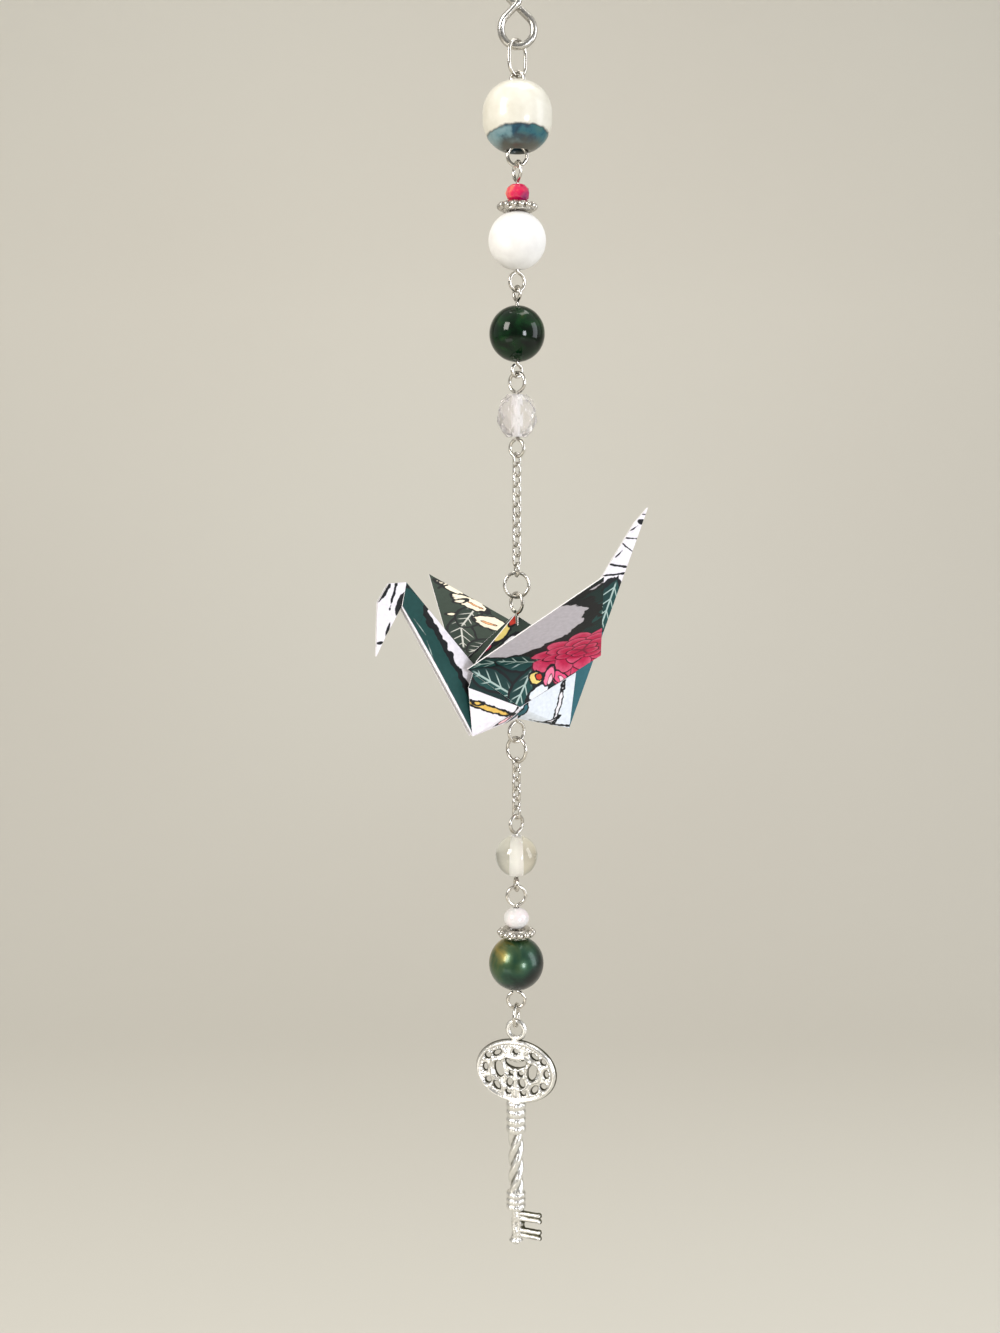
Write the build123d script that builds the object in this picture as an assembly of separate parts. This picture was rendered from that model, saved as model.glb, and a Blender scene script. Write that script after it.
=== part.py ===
from build123d import *
from math import asin, atan2, cos, degrees, radians, sin, sqrt, tan
import os

# Hanging origami crane ornament: wire hook, jump rings, bead links, fine chain,
# a folded paper crane on an eye pin and an old-style key charm.
# Millimetres, +Z up, X to the right as seen from the front, origin where the hook hangs.

# Wires and play
hook_wire = 1.0
pin_wire = 0.5
ring_wire = 0.5
chain_wire = 0.38
loop_gap = 0.08
seat_gap = 0.08
thread_gap = 0.22
ring_slit = 0.05

# Hook
hook_inner = 10.0
hook_drop = 22.0
hook_tip_drop = 2.0
teardrop_width = 5.5
teardrop_height = 5.4
strand_gap = 0.3
cut_end = 1.7
shank_lean = 0.7
shank_turn_height = 8.0
shank_height = 13.0
strand_bend = 1.4
shank_bend = 2.4
round_bend = 0.97

# Jump rings: outer height, outer width, turn about Z in degrees
top_ring_size = (5.3, 3.9, 48)
upper_jump_ring_size = (4.0, 4.0, 8)
lower_jump_ring_size = (4.0, 4.0, -42)
key_ring_size = (3.8, 3.8, 78)

# Eye pins: outer size and turn of the top eye, then of the bottom eye, and free play above the beads
eye_bend = 0.6
eye_mouth = 0.42
ceramic_pin_eyes = (2.6, -32, 3.2, 4, 0.1)
white_pin_eyes = (3.0, -68, 3.0, 35, 0.4)
green_pin_eyes = (2.3, -62, 2.2, 38, 0.5)
crystal_pin_eyes = (3.2, -40, 2.9, -38, 0.1)
crane_pin_eyes = (3.25, -54, 3.4, 42, 0.1)
clear_pin_eyes = (3.0, 45, 2.25, -76, 0.15)
pearl_pin_eyes = (3.25, 12, 3.0, 0, 0.1)

# Beads: outer diameters, heights and holes
ceramic_width = 9.6
ceramic_ball = 9.6
ceramic_height = 9.3
ceramic_curve = 4.3
ceramic_hole = 2.9
ceramic_lip = 0.35
ceramic_sink_top = 1.1
ceramic_sink_bottom = 1.15
white_bead_size = 8.0
green_bead_size = 7.8
pearl_bead_size = 8.0
clear_bead_size = 6.1
clear_bead_hole = 1.35
small_bead_width = 3.7
small_bead_height = 3.2
small_bead_sink = 0.2
pink_bead_width = 3.5
pink_bead_height = 2.3
pink_bead_sides = 9
pink_bead_sink = 0.1
crystal_width = 5.7
crystal_height = 5.9
crystal_sides = 8
facet_cap = 0.36
facet_shoulder = 0.86
facet_shoulder_height = 0.48

# Granulated spacers
spacer_width = 5.7
spacer_height = 1.3
spacer_bore = 2.1
spacer_ball = 1.05
spacer_balls = 14
spacer_rim = 4.7
spacer_rim_height = 0.5

# Chain
link_length = 2.25
link_width = 1.63
link_turn = 45
upper_chain_twist = -23  # of the last link, which squares up to the jump ring
upper_links = 12
lower_links = 6

# Paper crane, folded from a 75 mm square. X runs to the beak, Y to the near wing, Z up,
# from the point under the body where the pin comes out.
paper = 0.2
body_paper = 0.34
neck_paper = 0.3
fold_overlap = 1.012
crane_turn = 210.2
crane_lean = 1.9
crane_hole = 0.8
crane_hump = 14.85
crane_half_gap = 0.1
crane_seat = 0.22
head_half_gap = 0.12
bottom_head = (7.6, 0.5, -2.0)
bottom_tail = (-8.6, 0.5, -2.0)
vee_point = (1.2, 3.0, 1.9)
body_head = (8.7, 1.6, 5.0)
body_tail = (-8.0, 3.4, 6.3)
hump_head = (7.4, 1.7, 8.6)
hump_tail = (-9.4, 2.6, 8.4)
wing_head = (8.9, 1.75, 7.6)
wing_tail = (-11.5, 4.7, 8.7)
wing_tip = (1.1, 24.3, 20.5)
gusset_head = (6.4, 0, 7.4)
gusset_tail = (-6.6, 0, 8.8)
neck_bend_back = (17.3, 19.9)
neck_bend_front = (18.2, 16.5)
head_crown = (20.0, 19.8)
head_brow = (21.7, 17.3)
beak_tip = (22.1, 9.95)
beak_chin = (20.6, 12.7)
tail_knee = (-21.0, 27.9)
tail_tip = (-23.4, 30.1)

# Key charm
key_turn = -20
key_eye = 3.35
key_eye_wire = 0.8
key_eye_sink = 0.25
bow_width = 12.6
bow_height = 9.7
bow_plate = 0.9
bow_rim = 1.5
bow_rim_width = 0.8
# Openings in the bow, each with a twin: place from the middle, half sizes and tilt
bow_openings = {
    "upper_rim": (4.35, 1.95, 0.42, 0.42, 0),
    "side_rim": (4.75, 0.1, 0.3, 0.5, 0),
    "lower_rim": (4.3, -1.8, 0.42, 0.42, 0),
    "leaf": (2.55, 0.1, 0.62, 1.15, -12),
    "upper_slot": (2.9, 2.5, 0.6, 0.3, -35),
    "lower_slot": (2.95, -2.45, 0.36, 0.62, -35),
    "drop": (0.95, -1.75, 0.4, 0.6, 15),
    "eyelet": (0.72, -0.3, 0.3, 0.3, 0),
    "foot": (1.15, -3.2, 0.32, 0.32, 0),
}
bow_crescent = (1.55, 0.78)
bow_crescent_height = 1.35
bow_top_hole = 0.35
bow_top_hole_height = 3.0
upper_collar = (3.0, 4.8, 4)
lower_collar = (2.95, 2.8, 3)
collar_sink = 0.3
shaft_width = 2.3
shaft_length = 9.1
shaft_lobes = 3
shaft_lobe = 1.2
shaft_core = 1.1
shaft_twist_pitch = 9.0
stem_width = 1.55
stem_length = 4.7
bit_reach = 4.1
bit_height = 4.4
bit_plate = 1.0
bit_notch = (1.7, 0.8)
bit_hole = 0.42
bit_hole_reach = 1.75
bit_knob = 0.45
bit_knob_levels = (-1.75, -0.85, 0.85, 1.75)
cast_overlap = 0.2

# Holes along the pins and through the beads
pin_hole = pin_wire + 2 * thread_gap

os.makedirs("parts", exist_ok=True)


def save(name, shape):
    """Write one piece, which has to be a single closed solid."""
    solids = shape.solids()
    assert len(solids) == 1, f"{name} has {len(solids)} solids"
    export_step(solids[0], f"parts/{name}.step")
    return solids[0]


def hung_from(wire_z, wire_above, wire):
    """Height of the top wire's centre in a loop that hangs in another."""
    return wire_z + (wire_above + wire) / 2 + loop_gap


def bent_wire(radius, wire, start, turn):
    """Round wire bent about the origin in the XZ plane, counter-clockwise from the front."""
    around = Axis((0, 0, 0), (0, -1, 0))
    bar = revolve(Pos(radius, 0, 0) * Circle(wire / 2), around, turn)
    return Rot(0, -start, 0) * bar


def rod(width, length):
    """Round bar that hangs down from the origin."""
    return Cylinder(width / 2, length, align=(Align.CENTER, Align.CENTER, Align.MAX))


def placed(shape, z, turn=0):
    return Pos(0, 0, z) * Rot(0, 0, turn) * shape


def oval_link(length, width, wire):
    """Closed link, with the origin at the centre of its top wire."""
    radius = (width - wire) / 2
    straight = length - width
    if straight <= 0:
        return Pos(0, 0, -radius) * Rot(90, 0, 0) * Torus(radius, wire / 2)
    top = bent_wire(radius, wire, 0, 180)
    low = Pos(0, 0, -straight) * bent_wire(radius, wire, 180, 180)
    link = top + low
    for side in (-radius, radius):
        link += Pos(side, 0, 0) * rod(wire, straight)
    return Pos(0, 0, -radius) * link


def jump_ring(size, wire):
    """Oval link with the fine slit where the ring was opened, at one side."""
    length, width, _ = size
    if length <= width:
        radius = (width - wire) / 2
        opened = degrees(ring_slit / radius)
        return Pos(0, 0, -radius) * bent_wire(radius, wire, opened / 2, 360 - opened)
    slit = Pos(width / 2, 0, -(length - wire) / 2) * Box(4 * wire, 2 * wire, ring_slit)
    return oval_link(length, width, wire) - slit


def eye_drop(outer, wire):
    """Distance from the middle of an eye to where its shank is straight."""
    radius = (outer - wire) / 2
    return sqrt(radius * radius + 2 * radius * eye_bend)


def eye(outer, wire):
    """Turned wire eye about the origin, with its shank leaving downwards."""
    radius = (outer - wire) / 2
    drop = eye_drop(outer, wire)
    lean = degrees(atan2(drop, eye_bend))
    mouth = degrees(eye_mouth / radius)
    loop = bent_wire(radius, wire, -lean, 270 - mouth + lean)
    neck = Pos(eye_bend, 0, -drop) * bent_wire(eye_bend, wire, 180 - lean, lean)
    return loop + neck


def eye_pin(name, z_top, eyes, stack, sink_top=0, sink_bottom=0):
    """Save a pin with an eye at each end, and return its lowest wire's centre and its beads' seat."""
    top_outer, top_turn, low_outer, low_turn, play = eyes
    top_middle = z_top - (top_outer - pin_wire) / 2
    stack_top = top_middle - top_outer / 2 - play + sink_top
    seat = stack_top - stack
    low_middle = seat - seat_gap + sink_bottom - low_outer / 2
    shank_top = top_middle - eye_drop(top_outer, pin_wire)
    shank_low = low_middle + eye_drop(low_outer, pin_wire)
    pin = placed(eye(top_outer, pin_wire), top_middle, top_turn)
    pin += placed(rod(pin_wire, shank_top - shank_low), shank_top)
    pin += placed(Rot(180, 0, 0) * eye(low_outer, pin_wire), low_middle, low_turn)
    save(name, pin)
    return low_middle - (low_outer - pin_wire) / 2, seat


def bead_hole(width, height):
    return Cylinder(width / 2, 2 * height)


def round_bead(width, hole=pin_hole):
    """Round bead that stands on the origin."""
    return Pos(0, 0, width / 2) * (Sphere(width / 2) - bead_hole(hole, width))


def ellipsoid_bead(width, height, hole=pin_hole):
    half = Ellipse(width / 2, height / 2) & Pos(width / 2, 0) * Rectangle(width, 2 * height)
    body = revolve(Plane.XZ * half, Axis.Z)
    return Pos(0, 0, height / 2) * (body - bead_hole(hole, height))


def dipped_bead():
    """Thrown bead with full round sides and a wide hole with a soft lip."""
    half = Pos(ceramic_width / 4, 0) * Rectangle(ceramic_width / 2, ceramic_ball)
    half = fillet([v for v in half.vertices() if v.X > ceramic_hole / 2], ceramic_curve)
    half -= Rectangle(ceramic_hole, ceramic_ball)
    half = fillet([v for v in half.vertices() if v.X < ceramic_hole], ceramic_lip)
    return Pos(0, 0, ceramic_height / 2) * revolve(Plane.XZ * half, Axis.Z)


def ring_points(sides, radius, z, half_step):
    step = 2 * 180 / sides
    turns = [radians(step * (k + half_step / 2)) for k in range(sides)]
    return [Vector(radius * cos(t), radius * sin(t), z) for t in turns]


def faceted_bead(width, height, sides, hole=pin_hole):
    """Cut bead of five rings of corners, each turned half a step against the next."""
    radius, half = width / 2, height / 2
    levels = (
        (facet_cap * radius, -half),
        (facet_shoulder * radius, -facet_shoulder_height * half),
        (radius, 0),
        (facet_shoulder * radius, facet_shoulder_height * half),
        (facet_cap * radius, half),
    )
    rings = [ring_points(sides, r, z, k % 2) for k, (r, z) in enumerate(levels)]
    faces = [Face(Wire.make_polygon(rings[0])), Face(Wire.make_polygon(rings[-1]))]
    for k in range(len(rings) - 1):
        low, high = rings[k], rings[k + 1]
        ahead = k % 2
        for n in range(sides):
            following = (n + 1) % sides
            third = high[n] if not ahead else high[following]
            faces.append(Face(Wire.make_polygon([low[n], low[following], third])))
            corner = low[following] if not ahead else low[n]
            faces.append(Face(Wire.make_polygon([high[n], high[following], corner])))
    cut = Solid(Shell(faces))
    return Pos(0, 0, half) * (cut - bead_hole(hole, height))


def spacer():
    """Pierced disc with a row of cast balls round its edge and a plain rim under them."""
    core = Cylinder(spacer_rim / 2 - spacer_ball / 4, spacer_height)
    lip = Pos(0, 0, (spacer_rim_height - spacer_height) / 2) * Cylinder(spacer_rim / 2, spacer_rim_height)
    disc = core + lip
    for k in range(spacer_balls):
        turn = Rot(0, 0, 360 * k / spacer_balls)
        disc += turn * Pos((spacer_width - spacer_ball) / 2, 0, 0) * Sphere(spacer_ball / 2)
    return Pos(0, 0, spacer_height / 2) * (disc - bead_hole(spacer_bore, spacer_height))


def cap_sink(width):
    """How far a ball rises into the bore of a spacer that lies on it."""
    radius = width / 2
    return radius - sqrt(radius * radius - spacer_bore * spacer_bore / 4)


def make_hook():
    """Wire hook with its lowest wire's centre on the origin. The eye's two strands cross, front over back."""
    half = (teardrop_width - hook_wire) / 2
    reach = teardrop_height - half
    slope = asin(half / reach)
    shoulder = teardrop_height - half / tan(slope)
    apart = (hook_wire + strand_gap) / 2
    hook_half = (hook_inner + hook_wire) / 2
    crest = hook_drop + hook_wire / 2
    corners = [
        (-cut_end * sin(slope), apart, teardrop_height + cut_end * cos(slope)),
        (half, apart / 2, shoulder),
        (half, 0, 0),
        (-half, 0, 0),
        (-half, -apart / 2, shoulder),
        (0, -apart, teardrop_height),
        (shank_lean, -apart / 2, shank_turn_height),
        (hook_half, 0, shank_height),
        (hook_half, 0, crest),
        (-hook_half, 0, crest),
        (-hook_half, 0, crest - hook_half - hook_tip_drop),
    ]
    eye_bends = [round_bend * half] * 4
    radii = eye_bends + [strand_bend, shank_bend, shank_bend] + [round_bend * hook_half] * 2
    path = FilletPolyline(*corners, radius=radii)
    start = Plane(origin=path @ 0, z_dir=path % 0)
    hook = sweep(start * Circle(hook_wire / 2), path=path)
    tip = Pos(-hook_half, 0, corners[-1][2]) * Sphere(hook_wire / 2)
    return hook + tip


def leaf(points, thickness):
    """Flat piece of folded paper of the given thickness about the plane of its corners."""
    middle = sum((Vector(*p) for p in points), Vector(0, 0, 0)) / len(points)
    grown = [middle + (Vector(*p) - middle) * fold_overlap for p in points]
    face = Face(Wire.make_polygon(grown))
    return extrude(face, thickness / 2, both=True)


def far_side(points):
    return [(x, -y, z) for x, y, z in points]


def leg_plane(corner, x, z):
    """Point of a neck or tail leaf, whose gap opens from its spine, through the bottom, to its free edge."""
    spine_x, spine_z = corner[0]
    edge_x, edge_y, edge_z = corner[1]
    length = sqrt(spine_x * spine_x + spine_z * spine_z)
    across = abs(x * spine_z - z * spine_x) / length
    widest = abs(edge_x * spine_z - edge_z * spine_x) / length
    return x, crane_half_gap + (edge_y - crane_half_gap) * across / widest, z


def make_crane():
    """The folded sheet as one solid, with its pin hole on the Z axis."""
    hump = (0, 0.05, crane_hump)
    under = (0, crane_half_gap, 0)
    neck = (neck_bend_back, bottom_head)
    tail = (tail_knee, bottom_tail)
    neck_leaf = [under, bottom_head, leg_plane(neck, *neck_bend_front), leg_plane(neck, *neck_bend_back)]
    tail_leaf = [under, bottom_tail, leg_plane(tail, *tail_tip), leg_plane(tail, *tail_knee)]
    head_points = (neck_bend_back, head_crown, head_brow, beak_tip, beak_chin, neck_bend_front)
    head_leaf = [(x, head_half_gap, z) for x, z in head_points]
    sides = [
        ([under, bottom_head, vee_point], body_paper),
        ([bottom_head, body_head, vee_point], body_paper),
        ([under, vee_point, bottom_tail], body_paper),
        ([vee_point, body_tail, bottom_tail], body_paper),
        ([vee_point, wing_head, wing_tail], paper),
        ([wing_head, wing_tip, wing_tail], paper),
        ([hump, hump_head, hump_tail], paper),
        ([hump, hump_head, gusset_head], paper),
        ([hump, hump_tail, gusset_tail], paper),
        ([hump_head, body_head, vee_point], paper),
        ([hump_tail, body_tail, vee_point], paper),
        ([hump_head, hump_tail, vee_point], paper),
        (neck_leaf, neck_paper),
        (tail_leaf, neck_paper),
        (head_leaf, neck_paper),
    ]
    leaves = []
    for points, thickness in sides:
        leaves.append(leaf(points, thickness))
        leaves.append(leaf(far_side(points), thickness))
    crane = Rot(crane_lean, 0, 0) * leaves[0].fuse(*leaves[1:])
    return crane - Cylinder(crane_hole / 2, 4 * crane_hump)


def collar(width, height, ribs):
    """Round collar of cast ribs that hangs down from the origin."""
    rib = height / ribs
    core = rod(width - rib, height)
    for k in range(ribs):
        core += Pos(0, 0, -(k + 0.5) * rib) * Torus((width - rib) / 2, rib / 2)
    return core


def twisted_shaft(length):
    """Bar of round lobes twisted like rope, which stands on the origin."""
    lobes = Circle(shaft_core / 2)
    for k in range(shaft_lobes):
        lobes += Rot(0, 0, 360 * k / shaft_lobes) * Pos((shaft_width - shaft_lobe) / 2, 0) * Circle(shaft_lobe / 2)
    guide = Helix(pitch=shaft_twist_pitch, height=length, radius=shaft_width)
    return sweep(lobes, path=Line((0, 0, 0), (0, 0, length)), binormal=guide)


def make_bow(middle):
    """Pierced oval bow with a raised rim, in the XZ plane."""
    outline = Pos(0, middle) * Ellipse(bow_width / 2, bow_height / 2)
    inner = Pos(0, middle) * Ellipse(bow_width / 2 - bow_rim_width, bow_height / 2 - bow_rim_width)
    plate = outline
    for x, z, half_width, half_height, tilt in bow_openings.values():
        opening = Circle(half_width) if half_width == half_height else Ellipse(half_width, half_height)
        for side in (-1, 1):
            plate -= Pos(side * x, middle + z) * Rot(0, 0, side * tilt) * opening
    crescent = Ellipse(*bow_crescent) - Pos(0, bow_crescent[1]) * Ellipse(*bow_crescent)
    plate -= Pos(0, middle + bow_crescent_height) * crescent
    plate -= Pos(0, middle + bow_top_hole_height) * Circle(bow_top_hole)
    bow = extrude(Plane.XZ * plate, bow_plate / 2, both=True)
    return bow + extrude(Plane.XZ * (outline - inner), bow_rim / 2, both=True)


def make_bit():
    """Bit of two knobbed prongs to the right of the stem, with its top edge at the origin's height."""
    prong_end = bit_reach - bit_knob
    plate = Pos(prong_end / 2, -bit_height / 2) * Rectangle(prong_end, bit_height)
    plate -= Pos(prong_end - bit_notch[0] / 2, -bit_height / 2) * Rectangle(*bit_notch)
    plate -= Pos(bit_hole_reach, -bit_height / 2) * Circle(bit_hole)
    for level in bit_knob_levels:
        plate += Pos(prong_end, level - bit_height / 2) * Circle(bit_knob)
    return extrude(Plane.XZ * plate, bit_plate / 2, both=True)


def make_key():
    """Cast key charm, with the origin at the centre of its top ring's wire."""
    key = oval_link(key_eye, key_eye, key_eye_wire)
    bow_top = key_eye_sink - (key_eye - key_eye_wire / 2)
    key += make_bow(bow_top - bow_height / 2)
    z = bow_top - bow_height + collar_sink
    key += Pos(0, 0, z) * collar(*upper_collar)
    z -= upper_collar[1]
    key += Pos(0, 0, z - shaft_length - cast_overlap) * twisted_shaft(shaft_length + 2 * cast_overlap)
    z -= shaft_length
    key += Pos(0, 0, z) * collar(*lower_collar)
    z -= lower_collar[1]
    key += Pos(0, 0, z + cast_overlap) * rod(stem_width, stem_length + cast_overlap)
    key += Pos(0, 0, z - stem_length) * Sphere(stem_width / 2)
    key += Pos(0, 0, z) * make_bit()
    return key


def hang_ring(name, size, above_z, above_wire):
    """Save a jump ring in the loop above, and return its lowest wire's centre."""
    z = hung_from(above_z, above_wire, ring_wire)
    loop_heights[name] = above_z
    save(name, placed(jump_ring(size, ring_wire), z, size[2]))
    return z - (size[0] - ring_wire)


def hang_pin(name, eyes, stack, above_z, above_wire, **sinks):
    """Save an eye pin in the loop above, and return its lowest wire's centre and its beads' seat."""
    loop_heights[name] = above_z
    return eye_pin(name, hung_from(above_z, above_wire, pin_wire), eyes, stack, **sinks)


def hang_chain(prefix, count, above_z, above_wire, last_twist=0):
    """Save a run of chain links, each a quarter turn from the last, and return the lowest wire's centre."""
    link = oval_link(link_length, link_width, chain_wire)
    for k in range(count):
        name = f"{prefix}_{k + 1:02d}"
        twist = last_twist if k == count - 1 else 0
        loop_heights[name] = above_z
        z = hung_from(above_z, above_wire, chain_wire)
        save(name, placed(link, z, link_turn + 90 * (k % 2) + twist))
        above_z, above_wire = z - (link_length - chain_wire), chain_wire
    return above_z


# Height of the wire on which each piece hangs and swings
loop_heights = {}

save("hanging_hook", Pos(0, 0, -hook_drop) * make_hook())
wire_z = hang_ring("top_ring", top_ring_size, -hook_drop, hook_wire)

sinks = {"sink_top": ceramic_sink_top, "sink_bottom": ceramic_sink_bottom}
wire_z, seat = hang_pin("ceramic_pin", ceramic_pin_eyes, ceramic_height, wire_z, ring_wire, **sinks)
save("ceramic_bead", placed(dipped_bead(), seat))

spacer_z = white_bead_size - cap_sink(white_bead_size) + seat_gap
pink_z = spacer_z + spacer_height + seat_gap - pink_bead_sink
wire_z, seat = hang_pin("white_pin", white_pin_eyes, pink_z + pink_bead_height, wire_z, pin_wire)
save("white_bead", placed(round_bead(white_bead_size), seat))
save("upper_spacer", placed(spacer(), seat + spacer_z))
save("pink_bead", placed(faceted_bead(pink_bead_width, pink_bead_height, pink_bead_sides), seat + pink_z))

wire_z, seat = hang_pin("green_pin", green_pin_eyes, green_bead_size, wire_z, pin_wire)
save("green_bead", placed(round_bead(green_bead_size), seat))

wire_z, seat = hang_pin("crystal_pin", crystal_pin_eyes, crystal_height, wire_z, pin_wire)
save("crystal_bead", placed(faceted_bead(crystal_width, crystal_height, crystal_sides), seat))

wire_z = hang_chain("upper_chain_link", upper_links, wire_z, pin_wire, upper_chain_twist)
wire_z = hang_ring("upper_jump_ring", upper_jump_ring_size, wire_z, chain_wire)

wire_z, seat = hang_pin("crane_pin", crane_pin_eyes, crane_hump + crane_seat, wire_z, ring_wire)
save("paper_crane", placed(make_crane(), seat + crane_seat, crane_turn))

wire_z = hang_ring("lower_jump_ring", lower_jump_ring_size, wire_z, pin_wire)
wire_z = hang_chain("lower_chain_link", lower_links, wire_z, ring_wire)

wire_z, seat = hang_pin("clear_pin", clear_pin_eyes, clear_bead_size, wire_z, chain_wire)
save("clear_bead", placed(round_bead(clear_bead_size, clear_bead_hole), seat))

spacer_z = pearl_bead_size - cap_sink(pearl_bead_size) + seat_gap
small_z = spacer_z + spacer_height + seat_gap - small_bead_sink
wire_z, seat = hang_pin("pearl_pin", pearl_pin_eyes, small_z + small_bead_height, wire_z, pin_wire)
save("pearl_bead", placed(round_bead(pearl_bead_size), seat))
save("lower_spacer", placed(spacer(), seat + spacer_z))
save("small_white_bead", placed(ellipsoid_bead(small_bead_width, small_bead_height), seat + small_z))

wire_z = hang_ring("key_ring", key_ring_size, wire_z, pin_wire)
loop_heights["key_charm"] = wire_z
save("key_charm", placed(make_key(), hung_from(wire_z, ring_wire, key_eye_wire), key_turn))
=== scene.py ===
import math
from functools import partial

import bmesh
import bpy
import numpy as np
from mathutils import Matrix, Vector


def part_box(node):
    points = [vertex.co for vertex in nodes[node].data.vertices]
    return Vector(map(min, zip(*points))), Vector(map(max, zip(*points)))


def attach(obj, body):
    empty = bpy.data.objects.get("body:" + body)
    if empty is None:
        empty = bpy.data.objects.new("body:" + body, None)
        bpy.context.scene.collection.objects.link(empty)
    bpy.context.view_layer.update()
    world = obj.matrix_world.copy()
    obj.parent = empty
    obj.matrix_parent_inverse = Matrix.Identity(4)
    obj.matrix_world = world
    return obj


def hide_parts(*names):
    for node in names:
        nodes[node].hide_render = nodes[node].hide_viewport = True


# Sizes in the dictionaries are millimetres and degrees, and mm turns them into Blender's metres
mm = 0.001

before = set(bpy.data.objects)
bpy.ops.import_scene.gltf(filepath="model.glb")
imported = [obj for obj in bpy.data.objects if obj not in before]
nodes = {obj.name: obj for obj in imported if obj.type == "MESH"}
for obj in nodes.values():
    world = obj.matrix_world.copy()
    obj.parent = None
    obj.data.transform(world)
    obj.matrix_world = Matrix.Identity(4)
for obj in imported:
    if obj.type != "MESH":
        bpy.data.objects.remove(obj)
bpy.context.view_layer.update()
print("frame loaded:", len(nodes), "nodes")


# sRGB hex to the linear colour that Blender's sockets take
def fromHex(code):
    channels = [int(code[k:k + 2], 16) / 255 for k in (1, 3, 5)]
    linear = [c / 12.92 if c < 0.04045 else ((c + 0.055) / 1.055) ** 2.4 for c in channels]
    return (*linear, 1.0)


# Feeds a node's sockets, by name or in order, each with a value, a hex colour, a socket or a node
def feed(node, feeds):
    for key, value in feeds.items() if isinstance(feeds, dict) else enumerate(feeds):
        if isinstance(value, bpy.types.Node):
            value = next(socket for socket in value.outputs if socket.enabled)
        if isinstance(value, bpy.types.NodeSocket):
            node.id_data.links.new(value, node.inputs[key])
        else:
            node.inputs[key].default_value = fromHex(value) if isinstance(value, str) else value


# Adds one node: mode is its operation or kind of data, stops a ramp's colours, settings its other properties
def addNode(tree, kind, feeds=(), mode=None, stops=(), **settings):
    prefixes = ("ShaderNode", "GeometryNode", "FunctionNode", "")
    node = tree.nodes.new(next(p + kind for p in prefixes if hasattr(bpy.types, p + kind)))
    if mode:
        settings["data_type" if kind == "Mix" else "operation"] = mode
    for key, value in settings.items():
        setattr(node, key, value)
    for k, (spot, code) in enumerate(stops):
        element = node.color_ramp.elements[k] if k < 2 else node.color_ramp.elements.new(spot)
        element.position = spot
        element.color = fromHex(code)
    feed(node, feeds)
    return node


# A new material, the way to add nodes to it, and its surface
def startMaterial(name, surface):
    material = bpy.data.materials.new(name)
    material.use_nodes = True
    shader = material.node_tree.nodes["Principled BSDF"]
    feed(shader, surface)
    return material, partial(addNode, material.node_tree), shader


# A new group of shader or geometry nodes, the way to add nodes to it, and what it is given
def startGroup(name, kind, inputs, outputs):
    tree = bpy.data.node_groups.new(name, kind + "NodeTree")
    for direction, sockets in (("INPUT", inputs), ("OUTPUT", outputs)):
        for label, socket in sockets.items():
            tree.interface.new_socket(label, in_out=direction, socket_type="NodeSocket" + socket)
    add = partial(addNode, tree)
    return tree, add, add("NodeGroupInput").outputs


# The place on a piece in millimetres from a centre given in metres
def placeInMm(add, centre=(0, 0, 0)):
    place = add("TexCoord").outputs["Object"]
    return add("Mapping", {"Vector": place, "Location": [-c / mm for c in centre], "Scale": [1 / mm] * 3})


def middleOf(node):
    low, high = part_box(node)
    return (low + high) / 2


def dress(material, *names):
    for name in names:
        piece = nodes[name]
        if piece.data.materials:
            piece.data.materials[0] = material
        else:
            piece.data.materials.append(material)


def addObject(name, data):
    made = bpy.data.objects.new(name, data)
    bpy.context.scene.collection.objects.link(made)
    return made


# Turns a finished bmesh into an object
def addShape(name, shape):
    mesh = bpy.data.meshes.new(name)
    shape.to_mesh(mesh)
    shape.free()
    return addObject(name, mesh)


# Camera at the photograph's viewing angle, a little below the string's middle and looking down by 6 degrees
cameraSetup = {"place": (-2.39, -210.8, -85.1), "lookDown": 6.07, "focalPixels": 1480, "imageHeight": 1333,
               "sensor": 24, "clipStart": 5}
cameraData = bpy.data.cameras.new("camera")
camera = addObject("camera", cameraData)
cameraData.sensor_fit = "VERTICAL"
cameraData.sensor_height = cameraSetup["sensor"]
cameraData.lens = cameraSetup["sensor"] * cameraSetup["focalPixels"] / cameraSetup["imageHeight"]
cameraData.clip_start = cameraSetup["clipStart"] * mm
camera.location = Vector(cameraSetup["place"]) * mm
camera.rotation_euler = (math.radians(90 - cameraSetup["lookDown"]), 0, 0)
bpy.context.scene.camera = camera
bpy.context.scene.view_settings.view_transform = "Standard"

# A pale wall and floor in one curved sheet, well behind and below the ornament
stageSetup = {"floor": -330, "front": -1500, "back": 900, "bend": 450, "height": 1500, "halfWidth": 1900,
              "steps": 24, "tones": ("#CFCAC0", "#D7D5CC"), "toneSize": 0.0022,
              # paintedFloorShade: painted shade, the colour's scale from the floor's height up to 60 mm
              "paintedFloorShade": (-330, 60, 0.8, 1)}


def makeStage(setup):
    profile = [(setup["front"], setup["floor"])]
    for k in range(setup["steps"] + 1):
        a = math.radians(90 * k / setup["steps"])
        profile.append((setup["back"] - setup["bend"] + setup["bend"] * math.sin(a),
                        setup["floor"] + setup["bend"] - setup["bend"] * math.cos(a)))
    profile.append((setup["back"], setup["height"]))
    points = [(side * setup["halfWidth"] * mm, y * mm, z * mm) for y, z in profile for side in (-1, 1)]
    faces = [(2 * k, 2 * k + 1, 2 * k + 3, 2 * k + 2) for k in range(len(profile) - 1)]
    mesh = bpy.data.meshes.new("stageSheet")
    mesh.from_pydata(points, [], faces)
    mesh.shade_smooth()
    sheet = addObject("stageSheet", mesh)
    return sheet
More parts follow.
